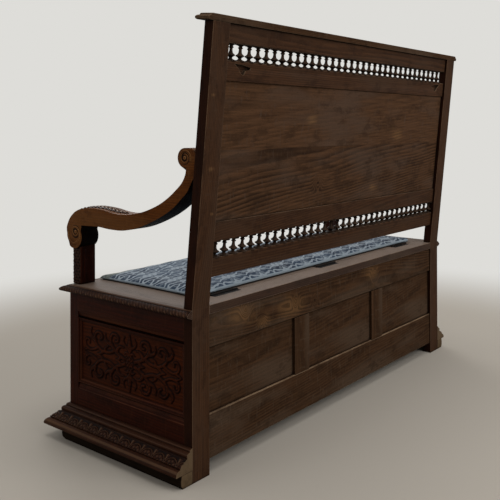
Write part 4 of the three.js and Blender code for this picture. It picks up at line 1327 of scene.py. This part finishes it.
SEAT_UNDER = SEAT_TOP - SEAT_THICKNESS
LID_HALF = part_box("seat_lid")[1].x
END_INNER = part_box("seat_end_right")[0].x
CORNER_RATIO = SEAT_FRONT_OVERHANG / SEAT_END_OVERHANG
nose_oak = oak_finish(
    "nose_oak", CARVED_OAK, "X", (0, BOX_FRONT, SEAT_TOP), (0.05, 0.05), carved=True, wear=0.5
)
for side, sign in SIDES:
    nose_skin(
        "seat_edge_" + side, SEAT_END_OVERHANG, 520,
        lambda out, up, run: Vector((sign * (HALF_WIDTH + out), run, SEAT_UNDER + up)),
        lambda out: BOX_FRONT - out * MM * CORNER_RATIO, lambda out: POST_REAR - 0.3 * MM, nose_oak,
        "settle",
    )
    nose_skin(
        "seat_edge_front_" + side, SEAT_FRONT_OVERHANG, 100,
        lambda out, up, run: Vector((sign * run, BOX_FRONT - out, SEAT_UNDER + up)),
        lambda out: END_INNER, lambda out: HALF_WIDTH + out * MM / CORNER_RATIO, nose_oak, "settle",
    )
nose_skin(
    "lid_edge_front", SEAT_FRONT_OVERHANG, 1200,
    lambda out, up, run: Vector((run, BOX_FRONT - out, SEAT_UNDER + up)),
    lambda out: -LID_HALF, lambda out: LID_HALF, nose_oak, "lid",
)
print("leaves are", LEAF_UNIT, "mm long")

# %% [markdown]
# A long leaf is carved on the top of each arm. It starts under the scroll, runs up over the knuckle and
# ends in a point half way along. Its ribs sweep back from a middle vein, and its edge is lobed.

# %% Leaf on the arms
LEAF_HALF = 29.0
leaf_line = smooth_line([*map(arm_place, reversed(ARM_TOP[9:]))], 2 * MM)
leaf_length = sum((b - a).length for a, b in zip(leaf_line, leaf_line[1:])) / MM
# The leaf's pale ridges are wear and partly a painted highlight of their glints.
leaf_oak = oak_finish("leaf_oak", CARVED_OAK, "Y", (0.72, -0.2, 0.7), (0.05, 0.05), carved=True, wear=1.5)


def leaf_lift(s, w):
    """How high the leaf stands, from 0 to 1, s millimetres from the scroll and w from the middle."""
    t = s / leaf_length
    lobes = 0.84 + 0.16 * abs(math.sin(math.pi * s / 34))
    half = LEAF_HALF * (1 - 0.2 * t) * max(0, 1 - t**3.5) ** 0.5 * lobes
    inside = min(1, max(0, (half - abs(w)) / 3))
    rib = abs(math.cos(math.pi * (s - 1.25 * abs(w)) / 17)) ** 0.8
    vein = math.exp(-((w / 2.6) ** 2))
    return inside * max(0.25 + 0.75 * rib * (1 - 0.3 * abs(w) / LEAF_HALF), vein)


def leaf_form():
    steps = 40
    across = [-LEAF_HALF + 2 * LEAF_HALF * i / steps for i in range(steps + 1)]
    loop = [(w, True) for w in across] + [(across[-1], False), (across[0], False), (across[0], True)]
    last = len(leaf_line) - 1

    def corner_place(share, corner):
        i = round(share * last)
        w, on_top = loop[corner]
        ahead = leaf_line[max(i - 1, 0)] - leaf_line[min(i + 1, last)]
        outward = Vector((ahead.y, -ahead.x)).normalized()
        raised = leaf_lift(share * leaf_length, w) if on_top else 0
        lift = (4.6 * raised - 0.5) * MM if on_top else -2 * MM
        spot = leaf_line[i] + outward * lift
        return Vector((ARM_OUTER - ARM_WIDTH / 2 + w * MM, spot.x, spot.y)), raised

    return closed_run(last, len(loop), corner_place)


both_ends("arm_leaf", leaf_form, leaf_oak, "arm_oak")
print("leaf length", round(leaf_length), "mm")

# %% [markdown]
# The short supports under the scrolls are carved on their outer and front faces with rows of small
# scales, and their backs have two plain reeds.

# %% Carving of the arm supports
SUPPORT_LOW, SUPPORT_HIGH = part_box("arm_support_right")
SCALE_UNIT = 15.0
SCALES_HEIGHT = 108 * MM
REED_HEIGHT = 104 * MM
REED_RADIUS = 5 * MM


def scales(across, up):
    """Overlapping scales in rows that step by half a scale."""
    row = np.floor(up / MM / SCALE_UNIT * 1.6)
    level = up / MM / SCALE_UNIT * 1.6 - row
    x = np.mod(across / MM / SCALE_UNIT + 0.5 * np.mod(row, 2), 1) - 0.5
    curve = np.clip(1 - (2 * x) ** 2, 0, 1) ** 0.5
    body = np.clip((level - 1 + curve) * 2.2, 0, 1) * (1 - 0.35 * level)
    vein = 0.4 * np.clip(1 - np.abs(x) / 0.09, 0, 1)
    raised = np.clip(body - vein, 0, 1)
    return 2.0 * MM * raised, 0.05 + 0.95 * raised


def support_carving():
    size = SUPPORT_HIGH - SUPPORT_LOW
    middle = (SUPPORT_LOW + SUPPORT_HIGH) / 2
    level = SEAT_TOP + 1 * MM + SCALES_HEIGHT / 2
    outer = relief_block(size.y - 3 * MM, SCALES_HEIGHT, 1 * MM, 1.2 * MM, scales)
    form = stood(outer, Vector((1, 0, 0)), Vector((SUPPORT_HIGH.x, middle.y, level)))
    front = relief_block(size.x - 3 * MM, SCALES_HEIGHT, 1 * MM, 1.2 * MM, scales)
    stood(front, Vector((0, -1, 0)), Vector((middle.x, SUPPORT_LOW.y, level)))
    join(form, front)
    return form


def support_reeds():
    form = bmesh.new()
    middle = (SUPPORT_LOW + SUPPORT_HIGH) / 2
    for place in (-0.24, 0.24):
        reed = Matrix.Translation((middle.x + place * 56 * MM, SUPPORT_HIGH.y, SEAT_TOP + 56 * MM))
        bmesh.ops.create_cone(
            form, cap_ends=True, segments=16, radius1=REED_RADIUS, radius2=REED_RADIUS, depth=REED_HEIGHT,
            matrix=reed @ Matrix.Diagonal((1, 0.36, 1, 1)),
        )
    return facing_out(form)


support_oak = oak_finish(
    "support_oak", CARVED_OAK, "Z", (0.713, -0.26, 0.52), (0.05, 0.05), carved=True, wear=0.5
)
reed_oak = oak_finish("reed_oak", DARK_OAK, "Z", (0.713, -0.26, 0.52), (0.05, 0.05), wear=0.0)
both_ends("support_carving", support_carving, support_oak, "dark_oak")
both_ends("support_reeds", support_reeds, reed_oak, "dark_oak")
print("scales are", SCALE_UNIT, "mm wide")

# %% [markdown]
# The lid turns on three butt hinges of blackened iron. Old iron that was blacked is dull, with brown
# rust coming through in clouds. One noise makes the clouds and also roughens the surface.

# %% Black iron
iron = Finish("black_iron")
iron_place = iron.add("TexCoord").outputs["Object"]
iron_clouds = iron.noise(iron.scaled(iron_place, (60, 60, 60)), 1.0, 4.0, 0.6)
iron_colour = iron.mix(iron.band(iron_clouds, 0.5, 0.72, 0.0, 0.7), tone(13, 12, 12), tone(44, 31, 24))
iron_finish = iron.surface(
    base_color=iron_colour, roughness=iron.band(iron_clouds, 0.3, 0.7, 0.7, 0.9),
    normal=iron.bump(iron_clouds, 0.25 * MM), specular_ior_level=0.06,
)
print("the rust is", round(tone(44, 31, 24)[0] / tone(13, 12, 12)[0], 1), "times as red as the iron")

# %% [markdown]
# The leaves of a hinge are plain plates with a softened edge, each held by three slotted screws. A
# screw's head is a low disc with two half discs on it, which leaves the slot open between them. The
# screws are turned by different amounts, as nobody lines them up.

# %% Hinges and their screws
SCREW_RADIUS = 3.4 * MM
SCREW_SHARES = (0.16, 0.5, 0.84)


def screw_head(form, place):
    """Adds one slotted head, its face up, to a form."""
    disc = bmesh.new()
    bmesh.ops.create_cone(
        disc, cap_ends=True, segments=20, radius1=SCREW_RADIUS, radius2=0.92 * SCREW_RADIUS, depth=0.5 * MM,
        matrix=Matrix.Translation((0, 0, 0.25 * MM)),
    )
    for side in (1, -1):
        top = bmesh.ops.create_cone(
            disc, cap_ends=True, segments=20, radius1=0.92 * SCREW_RADIUS, radius2=0.62 * SCREW_RADIUS,
            depth=0.6 * MM, matrix=Matrix.Translation((0, 0, 0.8 * MM)),
        )["verts"]
        edges = {edge for vert in top for edge in vert.link_edges}
        faces = {face for vert in top for face in vert.link_faces}
        cut = bmesh.ops.bisect_plane(
            disc, geom=[*top, *edges, *faces], plane_co=(side * 0.4 * MM, 0, 0), plane_no=(-side, 0, 0),
            clear_outer=True,
        )
        bmesh.ops.holes_fill(disc, edges=of_kind(cut["geom_cut"], bmesh.types.BMEdge), sides=0)
    bmesh.ops.recalc_face_normals(disc, faces=disc.faces)
    bmesh.ops.transform(disc, matrix=place, verts=disc.verts)
    join(form, disc)


for i in (1, 2, 3):
    for leaf, body in (("fixed", "settle"), ("lid", "lid")):
        node = "hinge_" + str(i) + "_" + leaf + "_leaf"
        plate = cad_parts[node]
        wear_finish(plate, iron_finish)
        soften(plate, 0.5 * MM)
        low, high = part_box(node)
        screws = bmesh.new()
        for share in SCREW_SHARES:
            back_share = 0.62 if leaf == "fixed" else 0.38
            spot = low + Vector((share * (high.x - low.x), back_share * (high.y - low.y), 0))
            spot.z = SEAT_TOP - 0.6 * MM
            screw_head(screws, Matrix.Translation(spot) @ Matrix.Rotation(share * 9 + i, 4, "Z"))
        piece(node + "_screws", screws, iron_finish, "iron", body=body)
print("a screw's head is", round(2 * SCREW_RADIUS / MM, 1), "mm across")

# %% [markdown]
# The seat cushion is a thin pad in a woven cover. Its solid is a plain crowned block, so a copy is
# remeshed and blown up a little as cloth, which rounds its edges and gives the faint swells of a filled
# cover.

# %% Filling the cushion
CUSHION_LOW, CUSHION_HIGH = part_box("cushion")
VOXEL = 5 * MM
MOST_SWELL = 6 * MM
THINNED = (1.004, 1.014, 0.86, 1)
PRESSURE = 4.0
CLOTH_STEPS = 20


def apply_modifiers(obj):
    """Makes the mesh what its modifiers show."""
    graph = bpy.context.evaluated_depsgraph_get()
    shown = bpy.data.meshes.new_from_object(obj.evaluated_get(graph))
    obj.modifiers.clear()
    obj.data = shown


def cushion_start():
    """A thinner copy of the cushion's solid, remeshed into even faces."""
    form = bmesh.new()
    form.from_mesh(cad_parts["cushion"].data)
    bmesh.ops.remove_doubles(form, verts=form.verts, dist=0.01 * MM)
    middle = (CUSHION_LOW + CUSHION_HIGH) / 2
    about = Matrix.Translation(middle) @ Matrix.Diagonal(THINNED) @ Matrix.Translation(-middle)
    bmesh.ops.transform(form, matrix=about, verts=form.verts)
    pad = placed("cushion_cover", bpy.data.meshes.new("cushion_cover"))
    form.to_mesh(pad.data)
    form.free()
    even = pad.modifiers.new("even_faces", "REMESH")
    even.mode = "VOXEL"
    even.voxel_size = VOXEL
    apply_modifiers(pad)
    return pad


def points_of(mesh):
    flat = np.zeros(len(mesh.vertices) * 3)
    mesh.vertices.foreach_get("co", flat)
    return flat.reshape(-1, 3)


def place_points(mesh, points):
    mesh.vertices.foreach_set("co", points.ravel())
    mesh.update()


def inflate(pad):
    """Blows the cover up as cloth and keeps each point within reach of where it began."""
    start = points_of(pad.data)
    cloth = pad.modifiers.new("cover", "CLOTH")
    cloth.settings.use_pressure = True
    cloth.settings.uniform_pressure_force = PRESSURE
    cloth.settings.quality = 5
    cloth.settings.mass = 0.3
    cloth.settings.effector_weights.gravity = 0.0
    cloth.point_cache.frame_start = 1
    cloth.point_cache.frame_end = CLOTH_STEPS
    scene = bpy.context.scene
    for step in range(1, CLOTH_STEPS + 1):
        scene.frame_set(step)
    apply_modifiers(pad)
    moved = points_of(pad.data) - start
    length = np.linalg.norm(moved, axis=1, keepdims=True)
    capped = start + moved * np.minimum(1, MOST_SWELL / np.maximum(length, 1e-9))
    place_points(pad.data, capped)
    scene.frame_set(1)


pad = cushion_start()
inflate(pad)
print("cushion faces:", len(pad.data.polygons))

# %% [markdown]
# The inflated pad is pressed flat on the seat and kept in its solid's room, with a few millimetres over
# at the ends and the front. One round of subdivision softens it. A seam then runs round its top, just
# inside the edge, and slow waves give the middle the uneven lie of an old filling.

# %% Seating and stitching the cushion
ROOM_OVER = ((0, 6 * MM, 6 * MM), (1, 8 * MM, 1 * MM))
SEAM_INSET = 7 * MM
SEAM_WIDTH = 2.2 * MM
SEAM_DEPTH = 1.6 * MM
WAVE_HEIGHT = 0.7 * MM


def seat_and_stitch(pad):
    """Sets the pad flat on the seat, inside its solid's room, and draws its seam in."""
    points = points_of(pad.data)
    points[:, 2] = np.maximum(points[:, 2], CUSHION_LOW.z)
    for axis, low_room, high_room in ROOM_OVER:
        low = CUSHION_LOW[axis] - low_room
        high = CUSHION_HIGH[axis] + high_room
        points[:, axis] = np.clip(points[:, axis], low, high)
    points[:, 2] = np.minimum(points[:, 2], CUSHION_HIGH.z + 2 * MM)
    place_points(pad.data, points)
    smooth = pad.modifiers.new("soft_cover", "SUBSURF")
    smooth.levels = 1
    smooth.render_levels = 1
    apply_modifiers(pad)
    points = points_of(pad.data)
    middle = (CUSHION_LOW + CUSHION_HIGH) / 2
    half = (CUSHION_HIGH - CUSHION_LOW) / 2
    edge = np.maximum(np.abs(points[:, 0] - middle.x) - half.x, np.abs(points[:, 1] - middle.y) - half.y)
    on_top = points[:, 2] > CUSHION_LOW.z + 6 * MM
    points[:, 2] -= SEAM_DEPTH * np.exp(-(((edge + SEAM_INSET) / SEAM_WIDTH) ** 2)) * on_top
    wave = np.sin(points[:, 0] * 71) * np.sin(points[:, 1] * 53 + 1.1)
    wave += 0.6 * np.sin(points[:, 0] * 23 + 0.4)
    lift = np.clip((points[:, 2] - CUSHION_LOW.z) / (CUSHION_HIGH.z - CUSHION_LOW.z), 0, 1)
    points[:, 2] += WAVE_HEIGHT * wave * lift * (edge < -12 * MM)
    place_points(pad.data, points)
    pad.data.polygons.foreach_set("use_smooth", [True] * len(pad.data.polygons))


seat_and_stitch(pad)
print("cushion top", round(float(points_of(pad.data)[:, 2].max()), 4))

# %% [markdown]
# The cover is a woven cloth: dark blue curls and leaves stand between pale lines, mirrored in both
# directions as on a loom, with a heathery mix of threads. The pattern is made from bent contour lines,
# so it is nobody's drawing. The sides are a plain strip of paler blue, and a worn greyish green border
# runs along the front, with a narrow hem at the ends.

# %% Woven cover
COVER_DARK = tone(22, 35, 54)
COVER_MID = tone(52, 71, 92)
COVER_PALE = tone(152, 163, 172)
COVER_STRIP = tone(150, 164, 174)
COVER_HEM = tone(112, 118, 112)
HALF_REPEAT = (62 * MM, 55 * MM)
PAST_THE_EDGE = 5.0
CURLS = (16.0, 0.8, 50.0)
SPECKS = (34.0, 0.6, 24.0)
THREAD_TURNS = 2900.0
HEM_LINE = CUSHION_LOW.y + 48 * MM
END_LINE = CUSHION_HIGH.x - 4 * MM
cover = Finish("woven_cover")
cover_place = cover.add("TexCoord").outputs["Object"]
cover_axes = cover.axes(cover_place)
mirrored = [
    cover.math("PINGPONG", cover.math("ADD", cover_axes[axis], PAST_THE_EDGE), half)
    for axis, half in zip("XY", HALF_REPEAT)
]
tile = cover.joined(*mirrored, 0.0)


def contours(look):
    """Bent lines where a slow noise on the mirrored tile takes the same value."""
    scale, detail, turns = look
    return cover.math("SINE", cover.times(cover.noise(tile, scale, detail), turns))


def threads_along(axis):
    return cover.math("SINE", cover.times(cover_axes[axis], THREAD_TURNS))


motif = cover.math(
    "MAXIMUM", cover.band(contours(CURLS), 0.3, 0.65), cover.band(contours(SPECKS), 0.6, 0.85, 0.0, 0.4)
)
worn = cover.noise(cover_place, 7.0, 3.0)
faded = cover.noise(cover.scaled(cover_place, (2.5, 4.0, 4.0)), 1.0, 2.0)
heather = cover.noise(cover.scaled(cover_place, (260, 900, 900)), 1.0, 1.0)
cloth_ground = cover.mix(cover.band(worn, 0.4, 0.65, 0.0, 0.8), COVER_DARK, COVER_MID)
cover_colour = cover.mix(cover.times(motif, 0.9), cloth_ground, COVER_PALE)
cover_colour = cover.mix(cover.band(heather, 0.45, 0.75, 0.0, 0.25), cover_colour, COVER_MID)
cover_colour = cover.mix(cover.band(faded, 0.55, 0.8, 0.0, 0.2), cover_colour, COVER_PALE)
looking_up = cover.axes(cover.add("NewGeometry").outputs["Normal"])["Z"]
cover_colour = cover.mix(cover.band(looking_up, 0.5, 0.8, 1.0, 0.0), cover_colour, COVER_STRIP)
front_share = cover.band(cover_axes["Y"], HEM_LINE - 6 * MM, HEM_LINE + 2 * MM, 1.0, 0.0)
end_share = cover.band(cover.math("ABSOLUTE", cover_axes["X"]), END_LINE - 1 * MM, END_LINE + 1 * MM)
hem_wear = cover.band(cover.noise(cover.scaled(cover_place, (30, 60, 60)), 1.0, 2.0), 0.4, 0.6, 0.7, 1.0)
hem_share = cover.times(cover.math("MAXIMUM", front_share, end_share), hem_wear)
cover_colour = cover.mix(hem_share, cover_colour, COVER_HEM)
threads = cover.times(threads_along("X"), threads_along("Y"))
weave = cover.math("MULTIPLY_ADD", threads, 0.5, cover.times(motif, 1.2))
cover_finish = cover.surface(
    base_color=cover_colour, roughness=0.92, normal=cover.bump(weave, 0.25 * MM), sheen_weight=0.12,
    sheen_roughness=0.5, specular_ior_level=0.1,
)
wear_finish(pad, cover_finish)
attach(pad, "lid")
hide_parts("cushion")
print("cover repeats every", [round(2 * half / MM) for half in HALF_REPEAT], "mm")

# %% [markdown]
# The model is complete.
